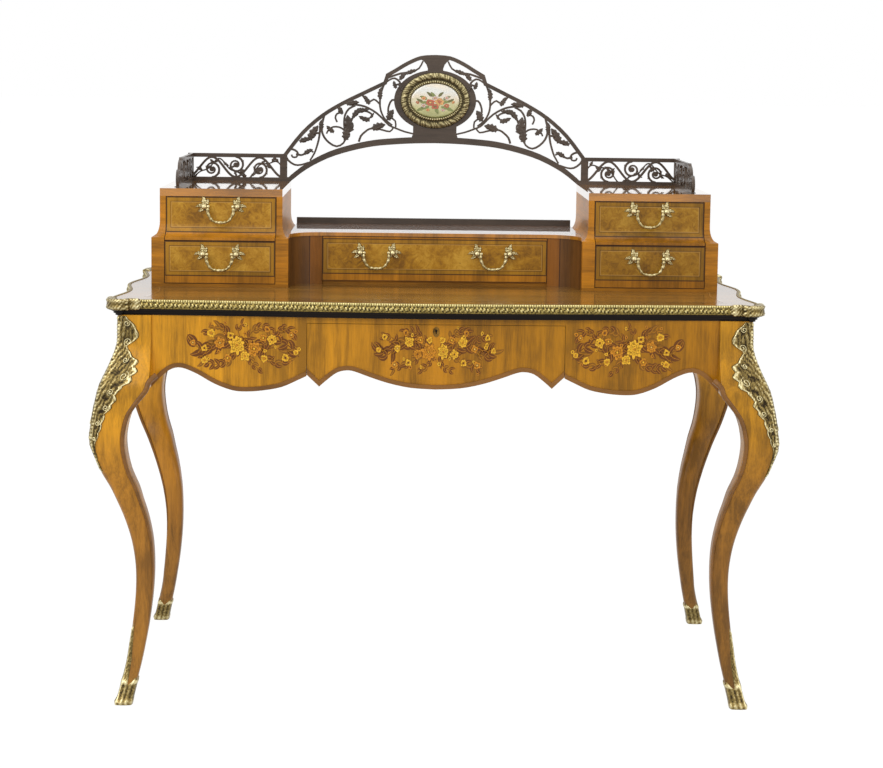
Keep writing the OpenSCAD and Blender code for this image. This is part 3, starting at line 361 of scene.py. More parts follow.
FINISHES = {
    "walnut_veneer": [
        (leg_walnut, "leg_*"),
        (shaded_wood("apron_veneer", "x", APRON_PAINTED_LIGHT, "z", 0.42),
         "front_aprons rear_apron frieze_drawer_front front_top_rail"),
        (wood("side_veneer", SIDE_WALNUT, "z", figure=0.5), "side_aprons"),
        (wood("crossband", CROSSBAND, "xy", figure=0.4), "cabinet_*_sides"),
        (wood("polished", CROSSBAND, rough=0.06, coat=1.0, shine=0.5, coat_rough=0.03), "cabinet_*_top"),
        (quadrant_wood(), "centre_quadrants"),
        (edged_wood("shelf_edged", SHELF_WALNUT, CROSSBAND, 0.04, "z", 1.0, 0.02), "centre_shelf"),
        (wood("top_walnut", scaled(TOP_WALNUT, 0.95), rough=0.2, coat=0.6, **POLISH), "table_top"),
    ],
    "burr_walnut": [
        (wood("field", scaled(TOP_WALNUT, 1.06), rough=0.22, coat=0.5, **POLISH), "top_field"),
        (drawer_face("centre_front", 13, 4, 0.93), "centre_front"),
    ] + [
        # the right-hand drawers are darker as painted shade, away from the light on the left
        (drawer_face(f"{side}_{level}_front", 14, 0, painted_shade_by), f"{side}_{level}_front")
        for side, painted_shade_by in (("left", 0.93), ("right", 0.74)) for level in ("upper", "lower")
    ],
    "dark_walnut": [(dark_walnut, "rear_frets side_frets gallery_arch shelf_upstand"),
                    (bead_walnut, "apron_beads frieze_drawer_bead")],
    "ebonised": [(wood("ebonised", EBONY, coat=0.0, spread=0.3, shine=0.1), "under_moulding")],
    "gilt_brass": [
        (gilt("keyhole_brass", DULL_BRASS), "escutcheon"),
        (gilt("gilt_brass", GILT), "knee_mounts sabots brass_edge corner_clasps plaque_frame *_posts *_bail"),
    ],
    "drawer_lining": [
        (edged_wood("floor_edged", OAK, scaled(CROSSBAND, 0.72), -0.02), "cabinet_*_boards"),
        (edged_wood("centre_edged", OAK, CROSSBAND, 0.06), "centre_boards"),
        (lining, "frieze_partitions *_box"),
    ],
    "porcelain": [(lining, "plaque")],
    "lock_steel": [(steel(), "lock_case lock_bolt")],
}
for slot, painted in FINISHES.items():
    for material, patterns in painted:
        for pattern in patterns.split():
            start, star, end = pattern.partition("*")
            for name, piece in nodes.items():
                if name == pattern or star and name.startswith(start) and name.endswith(end):
                    piece.data.materials.clear()
                    piece.data.materials.append(material)

# Meshes


class Heap:
    """Gathers small meshes that become one piece. Relief is 0 in hollows and 1 on raised parts; the gilt
    castings take painted shade and highlight from it.
    """

    def __init__(self):
        self.points, self.faces, self.relief, self.count = [], [], [], 0

    def add(self, points, faces, relief):
        points = np.asarray(points, float).reshape(-1, 3)
        self.points.append(points)
        self.faces.extend([[i + self.count for i in f] for f in faces])
        self.relief.append(np.broadcast_to(np.asarray(relief, float).ravel(), len(points)))
        self.count += len(points)

    def cap(self, ring, relief=1.0, flip=False):
        """One face over a ring of places."""
        face = list(range(len(ring)))
        self.add(ring, [face[::-1] if flip else face], relief)

    def grid(self, rows, relief=1.0, closed=False, flip=False):
        """rows is an array of rows by columns by 3. closed joins the last column to the first."""
        rows = np.asarray(rows, float)
        m, n = rows.shape[:2]
        faces = [(i * n + k, i * n + (k + 1) % n, (i + 1) * n + (k + 1) % n, (i + 1) * n + k)
                 for i in range(m - 1) for k in range(n if closed else n - 1)]
        self.add(rows, [f[::-1] for f in faces] if flip else faces, relief)

    def make(self, name, material, body, slot):
        mesh = bpy.data.meshes.new(name)
        points = np.concatenate(self.points)
        mesh.from_pydata([tuple(p) for p in points], [], [tuple(int(i) for i in f) for f in self.faces])
        mesh.validate()
        relief = np.concatenate(self.relief).astype(np.float32)
        mesh.attributes.new("relief", "FLOAT", "POINT").data.foreach_set("value", relief)
        mesh.polygons.foreach_set("use_smooth", [True] * len(mesh.polygons))
        mesh.materials.append(material)
        made = new_object(name, mesh)
        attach(made, body)
        return made


def casting(heap, name, material, node):
    """Makes a heap the gilt casting that stands for a node, on the same body."""
    body = nodes[node].parent.name.split(":")[1]
    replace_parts(heap.make(name, material, body, "gilt_brass"), node)


def smooth_rows(rows, fine):
    """More rows through the given ones, on smooth curves."""
    rows = np.asarray(rows, float)
    m = len(rows)
    out = []
    for i in range(m - 1):
        a, b, c, d = rows[max(0, i - 1)], rows[i], rows[i + 1], rows[min(m - 1, i + 2)]
        for k in range(fine):
            t = k / fine
            out.append(0.5 * (2 * b + (c - a) * t + (2 * a - 5 * b + 4 * c - d) * t * t
                              + (3 * b - a - 3 * c + d) * t ** 3))
    out.append(rows[-1])
    return np.array(out)


def unit(v):
    return v / np.linalg.norm(v, axis=1)[:, None]


def left_of(ahead):
    return np.stack([-ahead[:, 1], ahead[:, 0]], 1)


def circle(n):
    """Angles round a circle, in n equal steps."""
    return np.arange(n) * TURN / n


def places(x, y, z):
    """Places in metres, from numbers or arrays in mm."""
    return np.stack(np.broadcast_arrays(x, y, z), -1) * MM


def bell(x, width):
    return np.exp(-((x / width) ** 2))


def ripple(angle):
    """A wave from 0 to 1, that is 1 where the angle is 0."""
    return 0.5 + 0.5 * np.cos(angle)


def mirrored(points, sx, sy):
    return np.asarray(points, float) * (sx, sy, 1)


def tube(heap, path, radii, sides, relief=0.6):
    """A round bar along a path of points. radii may differ from place to place."""
    path = np.asarray(path, float)
    ahead = unit(np.gradient(path, axis=0))
    side = unit(np.cross(ahead, (0.02, 1, 0.03)))
    up = np.cross(side, ahead)
    turn = circle(sides)
    radii = np.broadcast_to(radii, len(path))[:, None, None]
    rings = path[:, None] + radii * (np.cos(turn)[None, :, None] * side[:, None]
                                     + np.sin(turn)[None, :, None] * up[:, None])
    heap.grid(rings, relief, closed=True, flip=True)
    for at in (0, -1):
        heap.cap(rings[at], float(np.mean(relief)))


# Legs: the sections of one CAD leg, made finer


def leg_sections():
    """Rows of z, inner X, outer X, inner Y, outer Y and rounding of the leg at +X and +Y, from its solid."""
    points = np.array([v.co for v in nodes["leg_rear_right"].data.vertices])
    rows = []
    for z in np.unique(np.round(points[:, 2], 5)):
        ring = points[abs(points[:, 2] - z) < 2e-5]
        low, high = ring.min(0), ring.max(0)
        rounding = high[1] - ring[abs(ring[:, 0] - high[0]) < 2e-5][:, 1].max()
        if len(ring) >= 30 and rounding < 0.02:
            rows.append((z, low[0], high[0], low[1], high[1], rounding))
    return np.array(rows)


leg_rows = leg_sections()


def leg_at(z):
    """Inner X, outer X, inner Y, outer Y and rounding at a height in metres."""
    return [float(np.interp(z, leg_rows[:, 0], leg_rows[:, k])) for k in range(1, 6)]


def leg_ring(row):
    """A rounded square. The inner corners turn sharp where the leg meets the frieze."""
    z, x0, x1, y0, y1, r = row
    inner = r * float(np.interp(z, [0.52, 0.59], [1.0, 0.2]))
    ring = []
    for x, y, first, r in ((x1 - r, y1 - r, 0, r), (x0 + inner, y1 - inner, 90, inner),
                           (x0 + inner, y0 + inner, 180, inner), (x1 - inner, y0 + inner, 270, inner)):
        for a in np.radians(first + np.linspace(0, 90, 8)):
            ring.append((x + r * cos(a), y + r * sin(a), z))
    return ring


def leg(name, sx, sy):
    heap = Heap()
    rings = mirrored([leg_ring(row) for row in smooth_rows(leg_rows, 3)], sx, sy)
    heap.grid(rings, closed=True, flip=sx * sy < 0)
    heap.cap(rings[-1], flip=sx * sy < 0)
    heap.cap(rings[0], flip=sx * sy > 0)
    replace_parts(heap.make(name + "_shaped", leg_walnut, "table", "walnut_veneer"), name)


for name, corner in zip(("leg_front_left", "leg_front_right", "leg_rear_left", "leg_rear_right"), CORNERS):
    leg(name, *corner)


def leg_beads():
    """The dark bead of the frieze runs on down the inner edges of each leg and dies away."""
    heap = Heap()
    heights = np.r_[0.6135, 0.610, 0.6065, 0.603, np.linspace(0.5985, 0.205, 60)]
    fade = np.interp(heights, [0.205, 0.26, 0.45, 0.566, 0.600], [0.6, 1.6, 3.6, 4.8, 5.2]) * MM
    # the top end leans over to meet the bead of the frieze
    lean = np.r_[13.5, 9.5, 5.6, 2.4, np.zeros(60)] * MM
    for sx, sy in CORNERS:
        for front in (True, False):
            path = []
            for z, off in zip(heights, lean):
                x0, x1, y0, y1, rounding = leg_at(z)
                inset = rounding * 0.25
                x, y = x0 + inset - off, y1 - inset - off / 4
                if not front:
                    x, y = x1 - inset - off / 4, y0 + inset - off
                path.append((sx * x, sy * y, z))
            tube(heap, path, fade, 12)
    heap.make("leg_beads", bead_walnut, "table", "dark_walnut")


leg_beads()

# Knee mounts and shoes

KNEE_FOOT, KNEE_HEAD = 436, 719.5
KNEE_HEIGHT = [436, 448, 460, 485, 505, 525, 545, 555, 570, 585, 592, 600, 620, 640, 652, 665, 680, 700, 719]
KNEE_WIDTH = [2, 5, 8, 11, 18, 23, 26, 33, 38, 37, 44, 52, 55, 47, 30, 21, 41, 35, 17]
# height and share of the half width
PITS = [(700, 0.5), (676, 0.4), (638, 0.55), (618, 0.35), (596, 0.6), (574, 0.4), (548, 0.55), (520, 0.45),
        (492, 0.5)]
# height, share of the half width, size and first angle
VOLUTES = [(706, 0.55, 6.5, 0), (672, 0.62, 7.5, 3), (640, 0.5, 5, 1), (612, 0.7, 8.5, 0), (584, 0.6, 6.5, 3),
           (556, 0.62, 6, 1), (528, 0.55, 5, 0), (500, 0.5, 3.6, 2)]


def on_leg(z, u, out):
    """A place in metres, from its height, its way along the section from the outer corner, and out, in mm."""
    x0, x1, y0, y1, r = leg_at(z * MM)
    u *= MM
    half = r * pi / 4
    if abs(u) <= half:
        a = pi / 4 + u / r
        dx, dy = cos(a), sin(a)
        x, y = x1 - r + r * dx, y1 - r + r * dy
    elif u > 0:
        x, y, dx, dy = x1 - r - (u - half), y1, 0, 1
    else:
        x, y, dx, dy = x1, y1 - r - (-u - half), 1, 0
    return x + dx * out * MM, y + dy * out * MM, z * MM


def knee_half(z):
    """Half the width of a knee mount, along the section, at a height in mm."""
    r = leg_at(z * MM)[4] * 1000
    lobe = 1 + 0.13 * abs(sin(z * pi / 17)) * (1 if z < 655 else 0.5)
    return max(2.5, (float(np.interp(z, KNEE_HEIGHT, KNEE_WIDTH)) - r + r * pi / 4) * lobe - 2)


def knee_relief(z, u, v, half):
    """How far a knee mount is raised at one spot, 0 to 1. v runs from -1 to 1 across it."""
    flow = abs(u) / 7.5 - z / 34 - 0.3 * sin(z / 13 + 1.6 * v) + 0.16 * sin(z / 5.5 + abs(u) / 3)
    fine = ripple(TURN * (z + 1.5 * abs(u) + 3 * sin(z / 9)) / 6.2)
    pearl = bell(u, 2.2) * ripple(TURN * z / 6.5)
    rope = bell(abs(v) - 0.88, 0.07) * (0.5 + 0.5 * ripple(TURN * (z + 1.6 * abs(u)) / 8))
    body = (1 - bell(abs(v) - 1, 0.05)) * (0.55 + 0.45 * (1 - abs(v)))
    raised = 0.08 + (0.5 * ripple(TURN * flow) + 0.22 * fine) * body + 0.7 * pearl
    raised += 0.75 * rope * min(1, half / 15)
    for at, side in PITS:
        raised *= 1 - 0.9 * bell(z - at, 5) * bell(abs(v) - side, 0.13)
    return max(0.0, min(1.0, raised))


def knee_mounts():
    """A leaf over the outer corner: pearls on the middle rib, flowing veins, volutes, a roped rim."""
    heap = Heap()
    across = np.sin(np.linspace(-1, 1, 63) * pi / 2)
    for sx, sy in CORNERS:
        rows, relief = [], []
        for z in np.linspace(KNEE_FOOT, KNEE_HEAD, 200):
            half = knee_half(z)
            row = []
            for v in across:
                raised = knee_relief(z, v * half, v, half)
                out = (0.4 + 2.6 * raised) * (1 - bell(1 - abs(v), 0.035)) - 1.2 * bell(1 - abs(v), 0.03)
                row.append(on_leg(z, v * half, out * min(1.0, (z - 433) / 8, (722 - z) / 6)))
                relief.append(raised)
            rows.append(row)
        heap.grid(mirrored(rows, sx, sy), relief, flip=sx * sy < 0)
        t = np.linspace(0, 1, 26)
        for z, share, size, start in VOLUTES:
            for side in (-1, 1):
                middle = side * share * knee_half(z)
                path = [on_leg(z + q * cos(a), middle + q * sin(a), 1.9)
                        for q, a in zip(size * (1 - 0.8 * t), start + side * 9.5 * t)]
                tube(heap, mirrored(path, sx, sy), (0.6 + 0.6 * t) * MM, 8, 0.85)
    casting(heap, "knee_castings", mount_gilt, "knee_mounts")


knee_mounts()

CLIMB = 0.62  # half the angle that the leaf of a shoe takes up, in radians


def shoes():
    """Closed cups round the feet, with a leaf that climbs the outer corner."""
    heap = Heap()
    turn = np.linspace(-pi, pi, 73)[:-1]
    turn = turn - 0.62 * np.sin(turn)
    for sx, sy in CORNERS:
        rows, relief = [], []
        for t in np.linspace(0, 1, 40):
            row = []
            for a in turn:
                climb = max(0.0, 1 - (abs(a) / CLIMB) ** 1.15)
                z = t * (42 + 5 * cos(4 * a) * (abs(a) > CLIMB) + 102 * climb)
                x0, x1, y0, y1, _ = leg_at(max(z, 3) * MM)
                cx, cy, half = (x0 + x1) / 2, (y0 + y1) / 2, (x1 - x0) / 2
                dx, dy = cos(a + pi / 4), sin(a + pi / 4)
                # a rounded square, measured along the ray from the middle of the leg
                reach = half / (abs(dx) ** 5 + abs(dy) ** 5) ** 0.2
                flute = ripple(a * 12) if z < 36 else ripple(TURN * (z - 40 * abs(a)) / 11)
                rim = bell(z - 40, 3.5) if z < 48 else 0
                toe = bell(z - 5, 5)
                raised = min(1.0, 0.2 + 0.35 * flute + 0.6 * rim + 0.5 * bell(a, 0.07) + 0.3 * toe)
                out = -0.8 if t > 0.97 else 0.6 + 2.1 * raised + 2.4 * toe * ripple(a)
                row.append((cx + dx * (reach + out * MM), cy + dy * (reach + out * MM), z * MM))
                relief.append(raised)
            rows.append(row)
        rows = mirrored(rows, sx, sy)
        heap.grid(rows, relief, closed=True, flip=sx * sy < 0)
        heap.cap(rows[0], 0.2, flip=sx * sy > 0)
    casting(heap, "shoe_castings", mount_gilt, "sabots")


shoes()

# Edge of the top

CORNER_X, CORNER_Y, CORNER_R = 571, 263, 27
OUTLINE_STEP = 1.05


def corner_arc(sx, sy, first, last):
    return [(sx * CORNER_X + CORNER_R * cos(a), sy * CORNER_Y + CORNER_R * sin(a))
            for a in np.radians(np.linspace(first, last, 40))]


def side_edge(sx):
    return [(sx * (592 + 8 * cos(pi * y / 125)), y) for y in np.linspace(-240 * sx, 240 * sx, 101)]


def top_outline():
    """Places, outward directions and way along the outline of the top, in mm, evenly spaced."""
    path = [(x, -278 - 22 * (1 + cos(pi * x / 560)) / 2) for x in np.linspace(-560, 560, 161)]
    path += corner_arc(1, -1, -112, 20) + side_edge(1) + corner_arc(1, 1, -20, 112)
    path += [(x, 286) for x in np.linspace(560, -560, 60)]
    path += corner_arc(-1, 1, 68, 200) + side_edge(-1) + corner_arc(-1, -1, 160, 292)
    path = np.array(path + path[:1])
    step = np.r_[0, np.cumsum(np.linalg.norm(np.diff(path, axis=0), axis=1))]
    at = np.linspace(0, step[-1], int(step[-1] / OUTLINE_STEP) // 8 * 8 + 1)[:-1]
    even = np.stack([np.interp(at, step, path[:, k]) for k in (0, 1)], 1)
    return even, -left_of(unit(np.roll(even, -2, 0) - np.roll(even, 2, 0))), at


outline, outward, along = top_outline()

# height, and distance out from the outline, of the rows of the edge band
BAND = [(733, -8.6), (733, -3.2), (734.6, -2.2), (735.4, -1.2), (736.6, -0.8), (738.2, -0.4), (740, -0.2),
        (741.8, -0.3), (743.4, -0.7), (744.8, -1.6), (745.6, -3), (746.4, -3.2), (747.2, -2.4), (748.4, -2.1),
        (749.5, -2.9), (750, -4.6), (750, -8.6), (748.9, -9.1)]


def edge_band():
    """Slanted leaves under a row of small beads."""
    heap = Heap()
    rows, relief = [], []
    for z, d in BAND:
        if 735 < z < 745:
            wander = 0.22 * np.sin(along / 17.0) + 0.14 * np.sin(along / 6.1 + z)
            leaf = ripple(TURN * (along / 8.4 - (z - 740) / 15 + wander))
            vein = ripple(TURN * (along / 5.1 + (z - 740) / 7 - wander))
            swell = (0.55 * leaf + 0.45 * vein) * bell(z - 740, 5.5)
            out, tone = d - 2.2 + 2.2 * swell, 1.15 * swell - 0.08
        elif 746 < z < 749.6:
            pearl = ripple(TURN * along / 4.4) ** 0.6
            out, tone = d - 1.2 + 1.2 * pearl, 0.15 + 0.85 * pearl
        else:
            out, tone = d + 0 * along, 0.35 + 0 * along
        rows.append(places(*(outline + outward * out[:, None]).T, z))
        relief.append(tone)
    heap.grid(rows, relief, closed=True)
    casting(heap, "edge_casting", band_gilt, "brass_edge")


edge_band()

# height, distance out from the outline, and rise of the rows of a clasp
CLASP = [(731.2, -6, 0), (731.2, 0.5, 0), (732.6, 3.6, 0.5), (735.5, 4.6, 0.8), (739, 3.8, 0.5),
         (742.5, 3.0, 0.35), (745.5, 3.6, 0.6), (748.5, 4.5, 0.9), (750.8, 3.2, 0.8), (752.0, 0.5, 0.6),
         (752.3, -3.5, 0.9), (751.6, -7.5, 0.5), (750.6, -10.5, 0.3), (749.2, -12.5, 0.1)]


def clasps():
    """Shell-shaped castings round the four corners of the edge band."""
    heap = Heap()
    for sx, sy in CORNERS:
        away = np.linalg.norm(outline - (CORNER_X * sx, CORNER_Y * sy), axis=1)
        near = np.flatnonzero(away < 39)
        if near[0] == 0:
            near = np.r_[near[near > len(outline) // 2], near[near <= len(outline) // 2]]
        t = np.linspace(-1, 1, len(near))
        fade = np.clip((1 - abs(t)) / 0.12, 0, 1) ** 0.6
        boss = bell(t, 0.3)
        curls = bell(abs(t) - 0.84, 0.08)
        rows, relief = [], []
        for z, d, rise in CLASP:
            swirl = ripple(t * 44 + 1.1 * z + 2.4 * np.sin(9 * t))
            raised = (0.5 * swirl + 0.25 * ripple(t * 70 - 0.8 * z)) * (1 - 0.5 * boss)
            raised = np.clip(0.05 + rise * (0.2 + 0.4 * boss) + raised + 0.25 * curls, 0, 1)
            out = (d - 2.2 + 2.2 * raised) * fade + min(d, -4) * (1 - fade)
            height = 741 + (z - 741) * (0.45 + 0.55 * fade)
            rows.append(places(*(outline[near] + outward[near] * out[:, None]).T, height))
            relief.append(1.35 * raised - 0.28)
        heap.grid(rows, relief)
    casting(heap, "clasp_castings", mount_gilt, "corner_clasps")


clasps()


def upper_rim(name):
    """The outline of a flat solid's upper face, in order round its middle, and its height, in mm."""
    points = np.array([v.co for v in nodes[name].data.vertices]) * 1000
    high = points[:, 2].max()
    rim = points[points[:, 2] > high - 0.01, :2]
    rim = rim[np.unique(rim.round(2), axis=0, return_index=True)[1]]
    return rim[np.argsort(np.arctan2(rim[:, 1], rim[:, 0]))], high


def top_strings():
    """Pale and dark lines let into the top round its field."""
    rim, z = upper_rim("top_field")
    side = -left_of(unit(np.roll(rim, -1, 0) - rim))
    corner = side + np.roll(side, 1, 0)
    corner /= ((corner ** 2).sum(1) / 2)[:, None].clip(0.4)
    for name, d0, d1, colour in (("field_line", -1.2, 0.6, LINE), ("field_string", 0.6, 2.4, STRING),
                                 ("field_outer_line", 2.4, 3.6, LINE)):
        heap = Heap()
        heap.grid([places(*(rim + corner * d).T, z + 0.12) for d in (d1, d0)], closed=True)
        line = wood(name, colour, rough=0.2, coat=0.8, spread=0.15, shine=0.5)
        heap.make(name, line, "table", "walnut_veneer")


top_strings()

# Marquetry

BROWN, OLIVE, ORANGE, YELLOW, CREAM = 0.1, 0.3, 0.5, 0.7, 0.9  # tones, the relief that inlay_material reads
STEM_LIFT, LEAF_LIFT, FLOWER_LIFT = 0.12, 0.17, 0.26  # height above the face, in mm


def front_face(x, z):
    """Y of the front frieze at a place, in mm. It is the same at all heights."""
    return -264 - 8 * (1 + cos(pi * x / 520)) / 2


def curl(x, z, heading, length, bend, steps=9):
    """A curved path: heading and bend in degrees."""
    path = [(x, z)]
    for i in range(steps):
        a = radians(heading + bend * i / (steps - 1))
        x, z = x + length / steps * cos(a), z + length / steps * sin(a)
        path.append((x, z))
    return path


class Spray(Heap):
    """Thin leaves, petals and stems laid on a curved face. Tones run from 0 to 1."""

    def __init__(self, middle, face, mirror, wide):
        super().__init__()
        self.middle, self.face, self.mirror, self.wide = middle, face, mirror, wide

    def spot(self, x, z, lift):
        x, z = self.mirror * (x * self.wide + self.middle[0]), z + self.middle[1]
        return x * MM, (self.face(x, z) - lift) * MM, z * MM

    def blade(self, path, widths, tone, lift):
        path = np.asarray(path, float)
        left = left_of(unit(np.gradient(path, axis=0))) * np.broadcast_to(widths, len(path))[:, None] / 2
        rows = [[self.spot(*(p + s[i]), lift) for s in (left, 0 * left, -left)] for i, p in enumerate(path)]
        self.grid(rows, tone, flip=self.mirror < 0)

    def stem(self, path, width):
        path = smooth_rows(path, 5)
        self.blade(path, width * np.linspace(1.2, 0.7, len(path)), BROWN, STEM_LIFT)

    def leaf(self, x, z, heading, length, width, bend, tone, vein):
        path = curl(x, z, heading, length, bend)
        t = np.linspace(0, 1, len(path))
        shape = np.sin(pi * t ** 0.75) * width
        self.blade(path, shape + 1.2 * (t < 0.99), BROWN, LEAF_LIFT - 0.03)
        self.blade(path, shape, tone, LEAF_LIFT)
        self.blade(path[:-1], 0.6, vein, LEAF_LIFT + 0.03)

    def flower(self, x, z, size, petals, tone, eye, wide=1.0, start=0.0, lift=FLOWER_LIFT):
        """Petals with dark rims round an eye. A large flower has a smaller one inside."""
        middle = np.array((x, z))
        for i in range(petals):
            a = radians(start + 360 * i / petals) + 0.14 * sin(4.7 * i)
            d = np.array((cos(a) * wide, sin(a))) * (0.9 + 0.14 * sin(2.9 * i + x))
            path = middle + np.linspace(0.2, 1, 7)[:, None] * size * d
            shape = TURN * size / petals * 0.8 * np.sin(pi * np.linspace(0.12, 1, 7) ** 1.5) ** 0.6
            self.blade(path, shape + 1.3, BROWN, lift)
            self.blade(path * 0.98 + middle * 0.02, shape, tone, lift + 0.03)
            self.blade(path[:4], 0.7, ORANGE if tone > 0.6 else BROWN, lift + 0.05)
        if size > 9.5:
            self.flower(x, z, size * 0.6, petals - 2, tone, eye, wide, start + 17, lift + 0.09)
            return
        for share, level, shade in ((0.30, 0.07, BROWN), (0.23, 0.1, eye)):
            r = size * share
            ring = [self.spot(x + r * cos(a), z + r * sin(a), lift + level) for a in circle(12)]
            self.cap(ring, shade, self.mirror < 0)


def inlay_material(name, colours, rough=0.36, coat=0.08):
    """Takes its five colours, brown to cream, from the tones of a spray."""
    s = Shader(name)
    stops = [(0.2 * i, srgb(*colour)) for i, colour in enumerate(colours)]
    streak = s.noise(420, 3, place=s.stretched((0.3, 1, 1), (0, 25, 0)))
    streaks = s.ramp(streak, [(0.3, 0.35), (0.7, 1.0)])
    shade = s.mix(0.35, s.ramp(s.relief(), stops, "CONSTANT"), streaks, "MULTIPLY")
    return s.finish(shade, rough, coat=coat, coat_rough=0.1, height=streak, depth=0.05, shine=0.22)


marquetry = inlay_material("marquetry", [
    (104, 58, 8), (132, 86, 12), (204, 134, 28), (232, 176, 44), (228, 184, 84)])


def along_stem(path, share):
    """Place and heading at a share of a stem's length."""
    path = smooth_rows(path, 5)
    i = min(len(path) - 2, int(share * (len(path) - 1)))
    d = path[i + 1] - path[i]
    return path[i], degrees(atan2(d[1], d[0]))


def dress_stem(s, chance, path, leaves, size):
    """Leaves on both sides of a stem, in the two dark woods, with small buds between them."""
    for k in range(leaves):
        (x, z), heading = along_stem(path, 0.04 + 0.93 * k / max(1, leaves - 1))
        side = 1 if k % 2 else -1
        for way in (side, -side):
            s.leaf(x, z, heading + way * chance.uniform(30, 80), size * chance.uniform(0.75, 1.3),
                   size * chance.uniform(0.3, 0.46), -way * chance.uniform(30, 110),
                   BROWN if chance.random() < 0.75 else OLIVE, ORANGE)
        if chance.random() < 0.3:
            a = radians(heading - side * chance.uniform(50, 90))
            d = size * chance.uniform(0.45, 0.8)
            s.flower(x + d * cos(a), z + d * sin(a), chance.uniform(3.0, 4.6), 5,
                     chance.choice((YELLOW, ORANGE, YELLOW)), BROWN, start=chance.uniform(0, 60), lift=0.24)


def fill_spray(s, chance, stems, flowers, m=1):
    """Stems with their leaves, then flowers over them. m is -1 for a mirror image."""
    for path, leaves, size in stems:
        path = [(m * x, z) for x, z in path]
        s.stem(path, 1.5 if size > 20 else 1.1)
        dress_stem(s, chance, path, leaves, size)
    for x, z, size, petals, tone, eye in flowers:
        s.flower(m * x, z, size, petals, tone, eye, start=chance.uniform(0, 40), lift=0.3)


# path, number of leaves and their size, in mm
SIDE_STEMS = [
    ([(-112, -18), (-88, 4), (-58, 12), (-28, 0), (0, 2), (30, 12), (58, 4), (84, -8), (110, 6)], 20, 24),
    ([(-56, 10), (-66, 28), (-84, 34), (-98, 22)], 6, 15),
    ([(-28, 0), (-44, -20), (-68, -30), (-88, -22)], 7, 16),
    ([(30, 12), (40, 30), (60, 36), (78, 26)], 6, 15), ([(14, -6), (36, -28), (64, -34), (88, -26)], 8, 16),
    ([(0, 4), (-14, 26), (-34, 38), (-50, 32)], 6, 15), ([(6, 8), (14, 30), (6, 42)], 3, 12),
    ([(-8, -8), (-14, -30), (-30, -42)], 4, 12),
]
MIDDLE_STEMS = [
    ([(6, -4), (34, 0), (60, 12), (86, 6), (106, -8), (124, 2)], 12, 22),
    ([(30, -4), (50, -20), (74, -26), (92, -34)], 6, 15), ([(16, 4), (32, 26), (52, 36), (68, 32)], 7, 15),
    ([(82, 8), (96, 24), (114, 26)], 4, 13), ([(8, -10), (16, -28), (32, -36)], 4, 12),
]
# place, size, petals, tone and tone of the eye
SIDE_FLOWERS = [
    (17, 2, 19, 14, YELLOW, ORANGE), (-19, -4, 15, 11, ORANGE, YELLOW), (0, -18, 11, 9, YELLOW, ORANGE),
    (-56, 13, 11, 9, YELLOW, BROWN), (52, 6, 12, 10, ORANGE, CREAM), (70, 24, 9, 8, YELLOW, ORANGE),
    (-84, -20, 8.5, 7, YELLOW, BROWN), (-96, 22, 6.5, 6, ORANGE, CREAM), (84, -26, 7.5, 7, YELLOW, ORANGE),
    (-46, 32, 7, 6, ORANGE, BROWN), (108, 6, 6.5, 6, ORANGE, CREAM), (-38, 16, 8, 8, ORANGE, YELLOW),
    (30, 20, 8, 8, YELLOW, BROWN), (36, -22, 8.5, 8, ORANGE, YELLOW), (-106, -10, 6, 6, YELLOW, ORANGE),
    (-40, -22, 8, 8, YELLOW, ORANGE), (84, -4, 7, 7, YELLOW, BROWN),
]

for side, mirror in (("left", -1), ("right", 1)):
    spray = Spray((349, 665), front_face, mirror, 0.88)
    fill_spray(spray, random.Random(11), SIDE_STEMS, SIDE_FLOWERS)
    spray.make("spray_" + side, marquetry, "table", "walnut_veneer")


def middle_spray():
    s = Spray((0, 661), front_face, 1, 0.84)
    chance = random.Random(23)
    for m, one, other in ((-1, ORANGE, YELLOW), (1, YELLOW, ORANGE)):
        fill_spray(s, chance, MIDDLE_STEMS, [
            (40, -6, 10, 9, one, BROWN), (58, 16, 11, 9, YELLOW, ORANGE), (90, -26, 8, 7, ORANGE, CREAM),
            (112, 25, 6.5, 6, YELLOW, BROWN), (66, 33, 6.5, 6, ORANGE, BROWN), (125, 1, 6, 6, YELLOW, ORANGE),
            (34, 20, 8, 8, ORANGE, YELLOW), (60, -22, 7.5, 7, YELLOW, BROWN), (84, 4, 8, 8, other, CREAM),
            (14, 20, 7, 7, YELLOW, ORANGE),
        ], m)
    s.flower(-16, -2, 18, 13, ORANGE, YELLOW, lift=0.34)
    s.flower(16, -1, 16, 14, YELLOW, ORANGE, wide=0.8, lift=0.34)
    s.make("spray_middle", marquetry, "frieze_drawer", "walnut_veneer")


middle_spray()

# Castings: leaves, handles

# across a leaf: place from one rim to the other, and height
LEAF_ACROSS = np.array([1, 0.8, 0.5, 0.28, 0.12, 0, -0.12, -0.28, -0.5, -0.8, -1])
LEAF_ARCH = np.array([0, 0.55, 0.9, 0.8, 0.62, 0.8, 0.62, 0.8, 0.9, 0.55, 0])


def cast_leaf(heap, x, z, face, heading, length, width, bend, rise, mirror, jagged=0.2, teeth=4):
    """An arched leaf with a middle vein, lying on a face at Y = face (mm), that looks towards -Y."""
    path = smooth_rows(curl(x, z, heading, length, bend, 6), 3)
    t = np.linspace(0, 1, len(path))
    left = left_of(unit(np.gradient(path, axis=0)))
    notch = TURN * teeth * t
    half = width / 2 * np.sin(pi * (0.08 + 0.92 * t) ** 0.8) ** 0.7 * (1 + jagged * np.cos(notch))
    rows, relief = [], []
    for i, p in enumerate(path):
        swell = rise * sin(pi * (0.12 + 0.76 * t[i])) ** 0.8
        arch = LEAF_ARCH * (0.75 + 0.25 * ripple(notch[i]))
        q = p + np.outer(LEAF_ACROSS * half[i], left[i])
        rows.append(places(q[:, 0] * mirror, face - 0.2 - arch * swell, q[:, 1]))
        relief.append(0.08 + 0.9 * arch)
    heap.grid(rows, relief, flip=mirror < 0)


